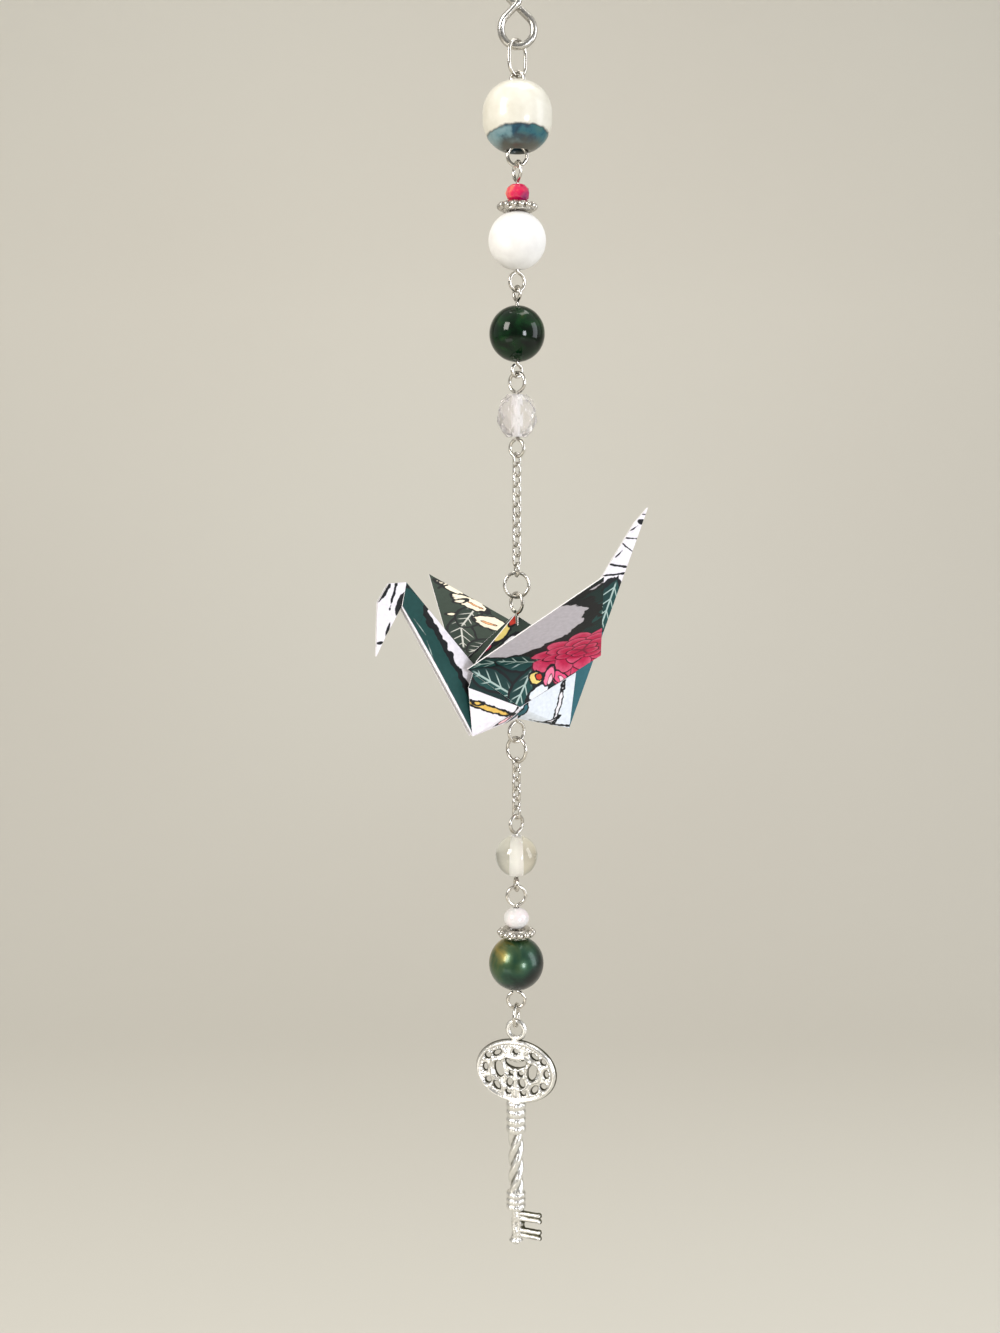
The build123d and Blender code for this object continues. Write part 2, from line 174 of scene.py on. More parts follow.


# Matt painted plaster: an even, pale greige with hardly any sheen, and painted shade that makes it a little
# darker towards the floor
paintedPlaster, add, shader = startMaterial("paintedPlaster", {"Roughness": 0.9, "Specular IOR Level": 0.15})
cloudy = add("TexNoise", {"Vector": placeInMm(add), "Scale": stageSetup["toneSize"], "Detail": 1.0})
tones = add("Mix", {0: cloudy, 6: stageSetup["tones"][0], 7: stageSetup["tones"][1]}, "RGBA")
# painted shade: the colour is scaled down to 0.8 at the floor and reaches full strength 60 mm up
height = add("SeparateXYZ", [placeInMm(add)]).outputs["Z"]
paintedFloorShade = add("MapRange", [height, *stageSetup["paintedFloorShade"]])
feed(shader, {"Base Color": add("VectorMath", {0: tones, 3: paintedFloorShade}, "SCALE")})
stageSheet = makeStage(stageSetup)
stageSheet.data.materials.append(paintedPlaster)

# Soft boxes: place, aim and size in mm, watts and tint
softBoxes = {
    "windowLight": ((-620, -560, 330), (0, 0, -90), (330, 460), 7.5, "#FFFAF4"),
    "fillLight": ((380, -650, -100), (0, 0, -100), (150, 210), 2.6, "#F4F7FF"),
    "sideLight": ((700, -120, 60), (0, 0, -100), (300, 620), 2.4, "#F4F7FF"),
    "lowLight": ((-229, -279, -272), (0, 0, -156), (220, 90), 0.085, "#FFFDF8"),
    "topLight": ((60, 120, 620), (0, 0, -100), (520, 420), 3.2, "#FFFDF8"),
}
for name, (place, aim, size, watts, tint) in softBoxes.items():
    lamp = bpy.data.lights.new(name, "AREA")
    lamp.shape = "RECTANGLE"
    lamp.size, lamp.size_y = size[0] * mm, size[1] * mm
    lamp.energy = watts
    lamp.color = fromHex(tint)[:3]
    holder = addObject(name, lamp)
    holder.location = Vector(place) * mm
    ray = Vector(aim) * mm - holder.location
    holder.rotation_euler = ray.to_track_quat("-Z", "Y").to_euler()

# The room's own light: pale all round, darker behind the camera and below, which gives metal its dark lines
roomLight = {"tint": "#DEDDD8", "behind": (-0.95, -0.2, 0.4, 1), "under": (-0.7, 0.5, 0.55, 1)}
world = bpy.data.worlds.new("softRoom")
bpy.context.scene.world = world
world.use_nodes = True
add = partial(addNode, world.node_tree)
x, y, z = add("SeparateXYZ", [add("TexCoord").outputs["Generated"]]).outputs
behind = add("MapRange", [y, *roomLight["behind"]])
under = add("MapRange", [z, *roomLight["under"]])
level = add("Math", [behind, under], "MULTIPLY")
feed(world.node_tree.nodes["Background"], {"Color": roomLight["tint"], "Strength": level})
print("camera, stage and lights ready")


# Metals. Wire colours vary a little and fine drawing marks catch the light
def makeMetal(name, look):
    material, add, shader = startMaterial(name, {"Metallic": 1.0})
    place = placeInMm(add)
    patches = add("TexNoise", {"Vector": place, "Scale": look["patch"], "Detail": 3.0})
    fine = add("TexNoise", {"Vector": place, "Scale": look["grain"], "Detail": 2.0})
    feed(shader, {
        "Base Color": add("Mix", {0: patches, 6: look["dull"], 7: look["bright"]}, "RGBA"),
        "Roughness": add("MapRange", [fine, 0.3, 0.7, *look["roughness"]]),
        "Normal": add("Bump", {"Height": fine, "Strength": look["bump"], "Distance": 0.02 * mm})})
    return material


metalLooks = {
    # Drawn steel wire: smooth and a little grey, patches about 2 mm, marks about 0.15 mm
    "drawnSteelWire": {"dull": "#A9A6A1", "bright": "#D9D6D0", "patch": 0.5, "grain": 7,
                       "roughness": (0.16, 0.3), "bump": 0.25},
    # Nickel plated jewellery wire: brighter and slicker
    "nickelPlatedWire": {"dull": "#B3AEA6", "bright": "#DEDAD2", "patch": 0.8, "grain": 9,
                         "roughness": (0.12, 0.24), "bump": 0.2},
    # Antique silver plate on cast granules: duller, with grey bloom
    "antiqueSilver": {"dull": "#98938B", "bright": "#E4E0D8", "patch": 1.4, "grain": 6,
                      "roughness": (0.16, 0.34), "bump": 0.35},
}
metals = {name: makeMetal(name, look) for name, look in metalLooks.items()}
dress(metals["drawnSteelWire"], "hanging_hook")
ringNames = ["top_ring", "upper_jump_ring", "lower_jump_ring", "key_ring"]
dress(metals["nickelPlatedWire"], *[name for name in nodes if name.endswith("_pin")], *ringNames)
print("metals ready")

# Crane: the corners of the folded sheet from the point where the pin comes out, X to the beak, Y to the near
# wing, Z up. Each panel is unfolded flat for its print, from one edge and then corner by corner.
craneLook = {"turn": 210.2, "lean": 1.9, "seatAboveBox": 2.21, "leaf": 0.16, "steps": 10, "sharpOver": 20,
             "sheets": ("wing", "body", "ends", "plain")}
craneFold = {
    "under": (0.0, 0.12, 0.0), "bottomHead": (7.6, 0.5, -2.0), "bottomTail": (-8.6, 0.5, -2.0),
    "vee": (1.2, 3.0, 1.9), "bodyHead": (8.7, 1.6, 5.0), "bodyTail": (-8.0, 3.4, 6.3),
    "humpTop": (0.0, 0.05, 14.85), "humpHead": (7.4, 1.7, 8.6), "humpTail": (-9.4, 2.6, 8.4),
    "gussetHead": (6.4, 0.0, 7.4), "gussetTail": (-6.6, 0.0, 8.8), "wingHead": (8.9, 1.75, 7.6),
    "wingTail": (-11.5, 4.7, 8.7), "wingTip": (1.1, 24.3, 20.5), "neckBack": (17.3, 0.12, 19.9),
    "neckFront": (18.2, 0.42, 16.5), "headBack": (17.3, 0.16, 19.9), "headFront": (18.2, 0.16, 16.5),
    "headCrown": (20.0, 0.16, 19.8), "headBrow": (21.7, 0.16, 17.3), "beakTip": (22.1, 0.12, 9.95),
    "beakChin": (20.6, 0.16, 12.7), "tailKnee": (-21.0, 0.12, 27.9), "tailTip": (-23.4, 0.12, 30.1),
}
# start: where the panel's window of print begins; edge: its first fold; then corner, fold it hangs on, side;
# bow: how far its middle bulges; shifts: how far the print moves for the near outside, the far outside, the
# near inside and the far inside
cranePanels = {
    "wing": {"sheet": "wing", "start": 0, "edge": ("wingHead", "wingTail"), "bow": 0.25,
             "corners": [("wingTip", "wingHead", "wingTail", 1), ("vee", "wingHead", "wingTail", -1)],
             "shifts": ((0, 0), (2.5, 2.0), (122, -2.0), (120, 0))},
    "legHead": {"sheet": "body", "start": 200, "edge": ("bottomHead", "under"), "bow": 0.15,
                "corners": [("vee", "bottomHead", "under", 1), ("bodyHead", "bottomHead", "vee", 1)],
                "shifts": ((0, 0), (0.8, 0.7))},
    "legTail": {"sheet": "body", "start": 300, "edge": ("under", "bottomTail"), "bow": 0.15,
                "corners": [("vee", "under", "bottomTail", 1), ("bodyTail", "vee", "bottomTail", 1)],
                "shifts": ((0, 0), (1.0, 0.4))},
    "hump": {"sheet": "body", "start": 400, "edge": ("humpHead", "humpTail"), "bow": 0.2,
             "corners": [("humpTop", "humpHead", "humpTail", 1)]},
    "gussetHead": {"sheet": "body", "start": 403, "edge": ("humpHead", "gussetHead"),
                   "corners": [("humpTop", "humpHead", "gussetHead", 1)]},
    "gussetTail": {"sheet": "body", "start": 405, "edge": ("gussetTail", "humpTail"),
                   "corners": [("humpTop", "gussetTail", "humpTail", 1)]},
    "side": {"sheet": "wing", "start": 2, "edge": ("humpHead", "humpTail"),
             "corners": [("vee", "humpHead", "humpTail", -1), ("bodyHead", "humpHead", "vee", -1),
                         ("bodyTail", "vee", "humpTail", -1)]},
    "neck": {"sheet": "ends", "start": 500, "edge": ("bottomHead", "under"), "bow": 0.1, "whiteInside": True,
             "corners": [("neckFront", "bottomHead", "under", 1), ("neckBack", "neckFront", "under", 1)],
             "shifts": ((0, 0), (0.4, 0.5))},
    "tail": {"sheet": "ends", "start": 600, "edge": ("under", "bottomTail"), "bow": 0.1, "whiteInside": True,
             "corners": [("tailTip", "under", "bottomTail", 1), ("tailKnee", "under", "tailTip", 1)],
             "shifts": ((0, 0), (0.5, -0.6))},
    "head": {"sheet": "ends", "start": 700, "edge": ("headFront", "headBack"),
             "corners": [("headCrown", "headFront", "headBack", 1), ("headBrow", "headFront", "headCrown", 1),
                         ("beakChin", "headFront", "headBrow", 1), ("beakTip", "beakChin", "headBrow", 1)],
             "shifts": ((0, 0), (0.3, 0.3))},
}


# Flat place of a corner beside a fold whose two ends are already flat
def unfoldCorner(a, b, c, flatA, flatB, side):
    fold, reach = b - a, c - a
    along = fold.dot(reach) / fold.length
    away = math.sqrt(max(0, reach.length_squared - along * along))
    run = (flatB - flatA) / fold.length
    return flatA + run * along + Vector((-run.y, run.x)) * away * side


def unfoldPanel(panel):
    first, second = panel["edge"]
    a, b = Vector(craneFold[first]), Vector(craneFold[second])
    run = Vector((a.x - b.x, b.z - a.z)).normalized()
    start = Vector((panel["start"], 0))
    flats = {first: start, second: start + run * (b - a).length}
    for corner, p, q, side in panel["corners"]:
        ends = [Vector(craneFold[key]) for key in (p, q, corner)]
        flats[corner] = unfoldCorner(*ends, flats[p], flats[q], side)
    return flats


bowPeak = 27  # the three shares of a place multiply to 1/27 in a triangle's middle


# One panel as a thin leaf: an outside, an inside and the cut rim that shows the white core
def addPanel(shape, printMap, panel, far):
    flats = unfoldPanel(panel)
    printed, plain = (craneLook["sheets"].index(name) for name in (panel["sheet"], "plain"))
    mirror = Vector((1, -1 if far else 1, 1))
    count = craneLook["steps"]
    shifts = panel.get("shifts", ((0, 0), (0, 0)))
    outShift = Vector(shifts[1 if far else 0])
    inShift = Vector(shifts[-1 if far else -2]) if len(shifts) == 4 else outShift
    spots, faces = {}, []
    for corner, p, q, side in panel["corners"]:
        corners = (p, q, corner)
        ends = [Vector(craneFold[key]) * mirror for key in corners]
        flat = [flats[key] for key in corners]
        normal = (ends[1] - ends[0]).cross(ends[2] - ends[0]).normalized()
        if normal.y * mirror.y < 0:
            normal.negate()
        ids = {}
        for i in range(count + 1):
            for j in range(count + 1 - i):
                w = (1 - (i + j) / count, i / count, j / count)
                place = sum((e * k for e, k in zip(ends, w)), Vector())
                place += normal * panel.get("bow", 0) * bowPeak * w[0] * w[1] * w[2]
                key = tuple(round(v, 4) for v in place)
                spot = spots.setdefault(key, {"place": place, "normal": Vector(), "flat": Vector((0, 0))})
                spot["normal"] += normal
                spot["flat"] = sum((f * k for f, k in zip(flat, w)), Vector((0, 0)))
                ids[i, j] = key
        for i in range(count):
            for j in range(count - i):
                faces.append((ids[i, j], ids[i + 1, j], ids[i, j + 1], normal))
                if i + j < count - 1:
                    faces.append((ids[i + 1, j], ids[i + 1, j + 1], ids[i, j + 1], normal))
    half = craneLook["leaf"] / 2
    for spot in spots.values():
        lift = spot["normal"].normalized() * half
        spot["out"] = shape.verts.new(spot["place"] + lift)
        spot["in"] = shape.verts.new(spot["place"] - lift)
    used = {}
    for a, b, c, normal in faces:
        turn = (spots[b]["place"] - spots[a]["place"]).cross(spots[c]["place"] - spots[a]["place"])
        ring = (a, b, c) if turn.dot(normal) > 0 else (a, c, b)
        for side, order, shift in (("out", ring, outShift), ("in", ring[::-1], inShift)):
            face = shape.faces.new([spots[key][side] for key in order])
            face.smooth = True
            face.material_index = plain if side == "in" and panel.get("whiteInside") else printed
            for loop, key in zip(face.loops, order):
                loop[printMap].uv = spots[key]["flat"] + shift
        for p, q in zip(ring, ring[1:] + ring[:1]):
            used[p, q] = ring
    for p, q in used:
        if (q, p) not in used:
            rim = shape.faces.new([spots[p]["in"], spots[q]["in"], spots[q]["out"], spots[p]["out"]])
            rim.material_index = plain
            for loop, key in zip(rim.loops, (p, q, q, p)):
                loop[printMap].uv = spots[key]["flat"] + outShift


def makeCrane():
    shape = bmesh.new()
    printMap = shape.loops.layers.uv.new("sheetPrint")
    for panel in cranePanels.values():
        for far in (False, True):
            addPanel(shape, printMap, panel, far)
    low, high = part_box("paper_crane")
    seat = low.z / mm + craneLook["seatAboveBox"]
    shape.transform(Matrix.Scale(mm, 4) @ Matrix.Translation((0, 0, seat))
                    @ Matrix.Rotation(math.radians(craneLook["turn"]), 4, "Z")
                    @ Matrix.Rotation(math.radians(craneLook["lean"]), 4, "X"))
    crane = addShape("foldedCrane", shape)
    crane.data.set_sharp_from_angle(angle=math.radians(craneLook["sharpOver"]))
    return crane


# Print motifs. Each is a group that paints over what is under it, in the sheet's own millimetres
def startMotif(name, extras):
    tree, add, given = startGroup(name, "Shader", {
        "Paint": "Color", "Sheet": "Vector", "Place": "Vector", "Turn": "Float", "Size": "Vector",
        "Fill": "Color", "Ink": "Float", **extras}, {"Paint": "Color"})
    moved = add("VectorMath", [given["Sheet"], given["Place"]], "SUBTRACT")
    turned = add("VectorRotate", {"Vector": moved, "Angle": given["Turn"]}, rotation_type="Z_AXIS",
                 invert=True)
    unit = add("VectorMath", [turned, given["Size"]], "DIVIDE")
    return tree, add, given, turned, unit


printEdge = 0.07  # how softly a printed edge ends, in mm
lineInk = "#15171A"


# Fills where depth is above nothing, then inks the line at depth nothing
def fillAndInk(add, paint, depth, fill, ink, inkColour=lineInk):
    filled = add("Math", [depth, 1 / printEdge, 0.5], "MULTIPLY_ADD", use_clamp=True)
    paint = add("Mix", {0: filled, 6: paint, 7: fill}, "RGBA")
    away = add("Math", [depth], "ABSOLUTE")
    left = add("Math", [ink, away], "SUBTRACT")
    inked = add("Math", [left, 1 / printEdge, 0.5], "MULTIPLY_ADD", use_clamp=True)
    return add("Mix", {0: inked, 6: paint, 7: inkColour}, "RGBA"), filled


# Cloud, twig or brush mark: an oval whose edge wavers by its Waver
def makeCloudMotif():
    tree, add, given, turned, unit = startMotif("printedCloud", {"Waver": "Float", "Ripple": "Float"})
    out = add("VectorMath", [unit], "LENGTH")
    ripple = add("TexNoise", {"Vector": turned, "Scale": given["Ripple"], "Detail": 2.0, "Roughness": 0.45})
    centred = add("Math", [ripple, 0.5], "SUBTRACT")
    wave = add("Math", [centred, given["Waver"]], "MULTIPLY")
    inside = add("Math", [1.0, out], "SUBTRACT")
    halfX, halfY, flat = add("SeparateXYZ", [given["Size"]]).outputs
    least = add("Math", [halfX, halfY], "MINIMUM")
    scaled = add("Math", [inside, least], "MULTIPLY")
    depth = add("Math", [scaled, wave], "ADD")
    swell = add("Math", [ripple, 0.8, 0.6], "MULTIPLY_ADD")
    ink = add("Math", [given["Ink"], swell], "MULTIPLY")
    add("NodeGroupOutput", fillAndInk(add, given["Paint"], depth, given["Fill"], ink)[:1])
    return tree


# Leaf: pointed at both ends, darker on one side, with a midrib and side veins
def makeLeafMotif():
    tree, add, given, turned, unit = startMotif("printedLeaf", {"Vein": "Color"})
    x, y, z = add("SeparateXYZ", [unit]).outputs
    halfX, halfY, flat = add("SeparateXYZ", [given["Size"]]).outputs
    square = add("Math", [x, x], "MULTIPLY")
    rounded = add("Math", [1.0, square], "SUBTRACT")
    skew = add("Math", [x, -0.35, 1.0], "MULTIPLY_ADD")
    skew = add("Math", [skew, 0.3], "MAXIMUM")
    outline = add("Math", [rounded, skew], "MULTIPLY")
    ripple = add("TexNoise", {"Vector": turned, "Scale": 0.6, "Detail": 1.0})
    rippled = add("Math", [ripple, 0.3, outline], "MULTIPLY_ADD")
    outward = add("Math", [y], "ABSOLUTE")
    gap = add("Math", [rippled, outward], "SUBTRACT")
    level = add("Math", [gap, 0.15], "SUBTRACT")
    depth = add("Math", [level, halfY], "MULTIPLY")
    shadeSide = add("Math", [y, 4.0, 0.5], "MULTIPLY_ADD", use_clamp=True)
    darker = add("Mix", {0: 0.45, 6: given["Fill"], 7: "#0B1F1E"}, "RGBA")
    blade = add("Mix", {0: shadeSide, 6: given["Fill"], 7: darker}, "RGBA")
    paint = fillAndInk(add, given["Paint"], depth, blade, given["Ink"])[0]
    along, across, up = add("SeparateXYZ", [turned]).outputs
    fromRib = add("Math", [across], "ABSOLUTE")
    pitch = add("Math", [halfX, 0.42], "MULTIPLY")
    slant = add("Math", [fromRib, 1.3, along], "MULTIPLY_ADD")
    step = add("Math", [slant, pitch], "DIVIDE")
    part = add("Math", [step], "FRACT")
    centred = add("Math", [part, 0.5], "SUBTRACT")
    offLine = add("Math", [centred], "ABSOLUTE")
    veinAway = add("Math", [offLine, pitch], "MULTIPLY")
    nearest = add("Math", [veinAway, fromRib], "MINIMUM")
    thin = add("Math", [0.13, nearest], "SUBTRACT")
    line = add("Math", [thin, 1 / printEdge, 0.5], "MULTIPLY_ADD", use_clamp=True)
    inset = add("Math", [depth, 2.0, -0.8], "MULTIPLY_ADD", use_clamp=True)
    veined = add("Math", [line, inset], "MULTIPLY")
    add("NodeGroupOutput", [add("Mix", {0: veined, 6: paint, 7: given["Vein"]}, "RGBA")])
    return tree


# Flower: four rings of round petals, each ring smaller and turned from the last
def makeFlowerMotif():
    tree, add, given, turned, unit = startMotif("printedFlower", {"Tip": "Color"})
    x, y, z = add("SeparateXYZ", [unit]).outputs
    halfX = add("SeparateXYZ", [given["Size"]]).outputs["X"]
    out = add("VectorMath", [unit], "LENGTH")
    angle = add("Math", [y, x], "ARCTAN2")
    waver = add("TexNoise", {"Vector": unit, "Scale": 2.3, "Detail": 2.0})
    wave = add("Math", [waver, 0.22, -0.11], "MULTIPLY_ADD")
    streaks = add("TexNoise", {"Vector": unit, "Scale": 7.0, "Detail": 2.0, "Distortion": 1.5})
    paint = given["Paint"]
    # each ring's reach, half its number of petals, and its turn
    for reach, petals, phase in ((1.0, 5.5, 0.2), (0.77, 4.5, 1.1), (0.54, 3.5, 0.5), (0.32, 2.5, 1.6)):
        swing = add("Math", [angle, petals, phase], "MULTIPLY_ADD")
        lobe = add("Math", [swing], "COSINE")
        lobe = add("Math", [lobe], "ABSOLUTE")
        rim = add("Math", [lobe, 0.22 * reach, 0.78 * reach], "MULTIPLY_ADD")
        rim = add("Math", [rim, wave], "ADD")
        gap = add("Math", [rim, out], "SUBTRACT")
        depth = add("Math", [gap, halfX], "MULTIPLY")
        toTip = add("MapRange", [gap, 0.26 * reach, 0.02, 0.0, 0.7])
        light = add("Math", [streaks, toTip], "MULTIPLY")
        petal = add("Mix", {0: light, 6: given["Fill"], 7: given["Tip"]}, "RGBA")
        paint, filled = fillAndInk(add, paint, depth, petal, given["Ink"], "#4A0F22")
        cusp = add("Math", [lobe, out], "MULTIPLY")
        cusp = add("Math", [cusp, -9.0, 0.9], "MULTIPLY_ADD", use_clamp=True)
        cusp = add("Math", [cusp, filled], "MULTIPLY")
        paint = add("Mix", {0: cusp, 6: paint, 7: "#5E1730"}, "RGBA")
    add("NodeGroupOutput", [paint])
    return tree


motifs = {"cloud": makeCloudMotif(), "leaf": makeLeafMotif(), "flower": makeFlowerMotif()}
inks = {"teal": "#174240", "deepTeal": "#0C2827", "moss": "#303D34", "lavender": "#B9B4BC",
        "white": "#E8E5EA", "ice": "#DCE3EC", "crimson": "#BC1F4C", "pink": "#E2527F", "blush": "#F3C3CC",
        "ochre": "#D8B25A", "yellow": "#E9D27A", "red": "#C8392B", "cream": "#EFE3CB", "black": lineInk,
        "vein": "#A3B8B3", "paleVein": "#C9C9C2", "blueTeal": "#2F626C", "rose": "#F07A9C",
        "peach": "#E0A06C"}
# Place on the sheet, turn, half length and half width, fill and ink line, then a cloud's waver and ripple, or
# the second colour of the leaf or flower that the row begins with
cranePrint = {"wing": [
    # outside: dark foliage with a grey cloud above and a flower to the right
    (10, 6, 0, 22, 22, "deepTeal", 0.2, 0.6, 0.3),
    ("leaf", 13.6, 15.6, 68, 6.4, 2.3, "teal", 0.2, "vein"),
    (7.0, 9.6, 57, 10.0, 6.2, "black", 0.0, 3.4, 0.6),
    (6.2, 10.4, 57, 9.2, 5.4, "lavender", 0.62, 2.6, 0.5),
    (10.1, 22.2, 66, 2.6, 0.45, "lavender", 0.25, 0.9, 0.9),
    (12.6, 23.6, 70, 1.6, 0.5, "blueTeal", 0.2, 0.7, 1.0),
    (8.6, 20.4, 40, 1.0, 0.3, "black", 0.2, 0.8, 0.9),
    ("leaf", 2.6, 1.6, 10, 4.6, 1.7, "teal", 0.2, "vein"),
    ("leaf", 8.0, 1.2, -12, 4.8, 2.0, "teal", 0.2, "vein"),
    ("leaf", 4.2, -2.4, -32, 4.4, 1.9, "teal", 0.2, "vein"),
    ("leaf", 8.2, -3.2, 64, 3.6, 1.7, "teal", 0.2, "vein"),
    (10.6, -3.8, 35, 1.9, 0.9, "ice", 0.14, 0.7, 1.0),
    ("flower", 16.5, 3.8, 22, 7.9, 6.6, "crimson", 0.11, "rose"),
    (14.2, -1.9, -30, 1.7, 0.8, "pink", 0.1, 0.7, 0.9),
    (14.6, -2.3, -36, 1.0, 0.35, "blush", 0.04, 0.6, 1.1),
    (12.3, -1.5, 70, 1.5, 0.75, "rose", 0.1, 0.6, 0.9),
    (12.4, -2.0, 76, 0.8, 0.3, "blush", 0.04, 0.5, 1.1),
    (10.2, -1.7, 0, 1.05, 0.95, "yellow", 0.16, 0.6, 1.2),
    (10.7, -1.5, 0, 0.55, 0.5, "red", 0.1, 0.4, 1.5),
    # the other face: moss ground with cream blossoms
    (131, 8, 0, 22, 24, "moss", 0.2, 0.6, 0.3),
    ("leaf", 126.6, 9.0, 62, 5.4, 2.2, "moss", 0.2, "paleVein"),
    ("leaf", 130.6, 13.0, 40, 4.6, 1.9, "moss", 0.2, "paleVein"),
    ("leaf", 128.6, 4.6, 15, 4.6, 2.0, "moss", 0.2, "paleVein"),
    (131.7, 20.6, -62, 2.9, 0.8, "cream", 0.2, 1.0, 0.9),
    (132.0, 23.4, 24, 1.3, 0.22, "black", 0.1, 0.5, 1.1),
    (131.6, 22.0, 30, 1.4, 0.3, "cream", 0.16, 0.6, 1.0),
    (132.6, 16.2, -58, 3.2, 1.6, "cream", 0.2, 1.5, 0.8),
    (131.2, 17.0, 10, 1.3, 0.5, "cream", 0.16, 0.7, 1.0),
    (133.0, 15.6, -58, 1.3, 0.2, "peach", 0.05, 0.6, 1.2),
    (133.0, 10.4, -40, 2.8, 2.0, "cream", 0.2, 1.5, 0.8),
    (132.4, 10.6, -40, 1.1, 0.3, "peach", 0.05, 0.6, 1.2),
    (127.6, 13.7, 10, 1.0, 0.4, "cream", 0.12, 0.5, 0.9),
], "body": [
    # front of the body: white with an ochre twig and a pink bud
    (201.2, 4.4, -8, 4.4, 0.42, "ochre", 0.13, 0.5, 1.3),
    (199.6, 4.9, 10, 0.7, 0.3, "ochre", 0.12, 0.5, 1.5),
    (204.5, 2.7, 38, 1.4, 0.45, "blush", 0.1, 0.4, 1.2),
    (205.5, 4.9, 78, 1.5, 0.08, "black", 0.08, 0.2, 1.0),
    (206.6, 3.2, 60, 1.6, 0.3, "blueTeal", 0.12, 0.4, 1.0),
    # back of the body: pale blue with a twig in outline
    (304, 3, 0, 9, 9, "ice", 0.0, 0.5, 0.5),
    (300.1, 2.2, 80, 2.0, 0.45, "blueTeal", 0.12, 0.6, 1.2),
    (306.2, 2.4, 80, 3.6, 0.36, "white", 0.12, 0.8, 1.1),
    (305.8, -0.9, -13, 2.6, 0.12, "black", 0.08, 0.5, 1.2),
    (305.2, 0.0, 20, 1.2, 0.22, "white", 0.12, 0.5, 1.2),
    # hump
    (408, 3, 0, 14, 7, "moss", 0.0, 0.3, 0.5),
    (402.0, 2.2, 40, 2.4, 0.6, "crimson", 0.15, 0.5, 1.0),
    (404.6, 4.0, 42, 2.2, 0.8, "yellow", 0.15, 0.5, 1.0),
    (405.0, 2.0, 40, 2.6, 0.7, "white", 0.15, 0.5, 1.0),
    (407.0, 5.8, 45, 1.4, 0.5, "red", 0.12, 0.5, 1.0),
], "ends": [
    # neck: dark band along the front with a ragged border, and the sheet's other layer showing at its edge
    (490.4, 19.8, 100, 2.8, 3.4, "teal", 0.4, 1.0, 0.6),
    (494.2, 9.6, 119.8, 16.0, 3.2, "teal", 0.4, 1.7, 0.55),
    (490.8, 18.6, 119.8, 2.6, 1.7, "teal", 0.0, 0.6, 0.6),
    (496.4, 6.0, 100, 1.1, 0.07, "vein", 0.0, 0.2, 1.0),
    (493.6, 12.4, 110, 0.9, 0.07, "vein", 0.0, 0.2, 1.0),
    (492.2, 15.6, 128, 1.0, 0.07, "vein", 0.0, 0.2, 1.0),
    (494.7, 9.1, 119.8, 13, 0.42, "white", 0.0, 0.06, 0.5),
    # tail: foliage low down, then white with short marks
    (611.5, 6.0, 65, 14, 4.5, "blueTeal", 0.3, 1.2, 0.5),
    ("leaf", 615.9, 15.8, 66, 4.4, 2.4, "teal", 0.2, "vein"),
    (616.9, 20.2, 5, 1.6, 0.07, "black", 0.08, 0.3, 0.9),
    (617.2, 21.6, -8, 1.5, 0.09, "black", 0.08, 0.3, 0.9),
    (617.9, 23.2, 38, 0.5, 0.08, "black", 0.06, 0.3, 0.9),
    (619.2, 24.4, -34, 0.9, 0.07, "black", 0.06, 0.3, 0.9),
    (619.6, 25.6, -4, 0.8, 0.07, "black", 0.06, 0.3, 0.9),
    (620.7, 27.0, 30, 0.45, 0.07, "black", 0.05, 0.3, 0.9),
    (622.2, 28.0, 0, 0.7, 0.36, "black", 0.06, 0.3, 0.9),
    (622.7, 29.1, 0, 0.5, 0.05, "black", 0.04, 0.2, 0.9),
    # head
    (697.3, 1.9, 52, 1.1, 0.26, "black", 0.1, 0.5, 1.0),
    (698.9, 1.9, 74, 1.4, 0.14, "black", 0.05, 0.5, 1.1),
    (700.2, 0.4, 66, 1.6, 0.8, "black", 0.1, 0.5, 1.0),
    (697.9, -2.9, 70, 0.7, 0.16, "black", 0.06, 0.2, 1.0),
    (696.7, -4.7, 10, 0.4, 0.16, "black", 0.06, 0.2, 1.0),
]}


# Printed kozo paper: satin, with fibres about 1 mm long in a 0.05 mm relief
def makePrintedPaper(sheetName):
    material, add, shader = startMaterial("printedKozoPaper" + sheetName.title(),
                                          {"Roughness": 0.58, "Specular IOR Level": 0.2})
    sheet = add("UVMap", uv_map="sheetPrint")
    blotch = add("TexNoise", {"Vector": sheet, "Scale": 0.35, "Detail": 3.0})
    paint = add("Mix", {0: blotch, 6: inks["white"], 7: "#E1DBE6"}, "RGBA")
    for row in cranePrint[sheetName]:
        kind, *row = row if row[0] in motifs else ("cloud", *row)
        x, y, turn, halfLength, halfWidth, *rest = [inks.get(value, value) for value in row]
        paint = add("Group", [paint, sheet, (x, y, 0), math.radians(turn), (halfLength, halfWidth, 1), *rest],
                    node_tree=motifs[kind])
    wash = add("TexNoise", {"Vector": sheet, "Scale": 1.6, "Detail": 4.0})
    washed = add("MapRange", [wash, 0.3, 0.7, 0.9, 1.06])
    fibres = add("TexNoise", {"Vector": sheet, "Scale": 4.0, "Detail": 5.0, "Distortion": 2.0})
    feed(shader, {"Base Color": add("VectorMath", {0: paint, 3: washed}, "SCALE"),
                  "Normal": add("Bump", {"Height": fibres, "Strength": 0.3, "Distance": 0.05 * mm})})
    return material


# The sheet's white back and cut edge
def makePlainPaper():
    material, add, shader = startMaterial("plainKozoPaper", {"Roughness": 0.65, "Specular IOR Level": 0.25})
    fibres = add("TexNoise", {"Vector": placeInMm(add), "Scale": 3.0, "Detail": 4.0})
    feed(shader, {"Base Color": add("Mix", {0: fibres, 6: "#DEDADD", 7: "#EAE8E9"}, "RGBA")})
    return material


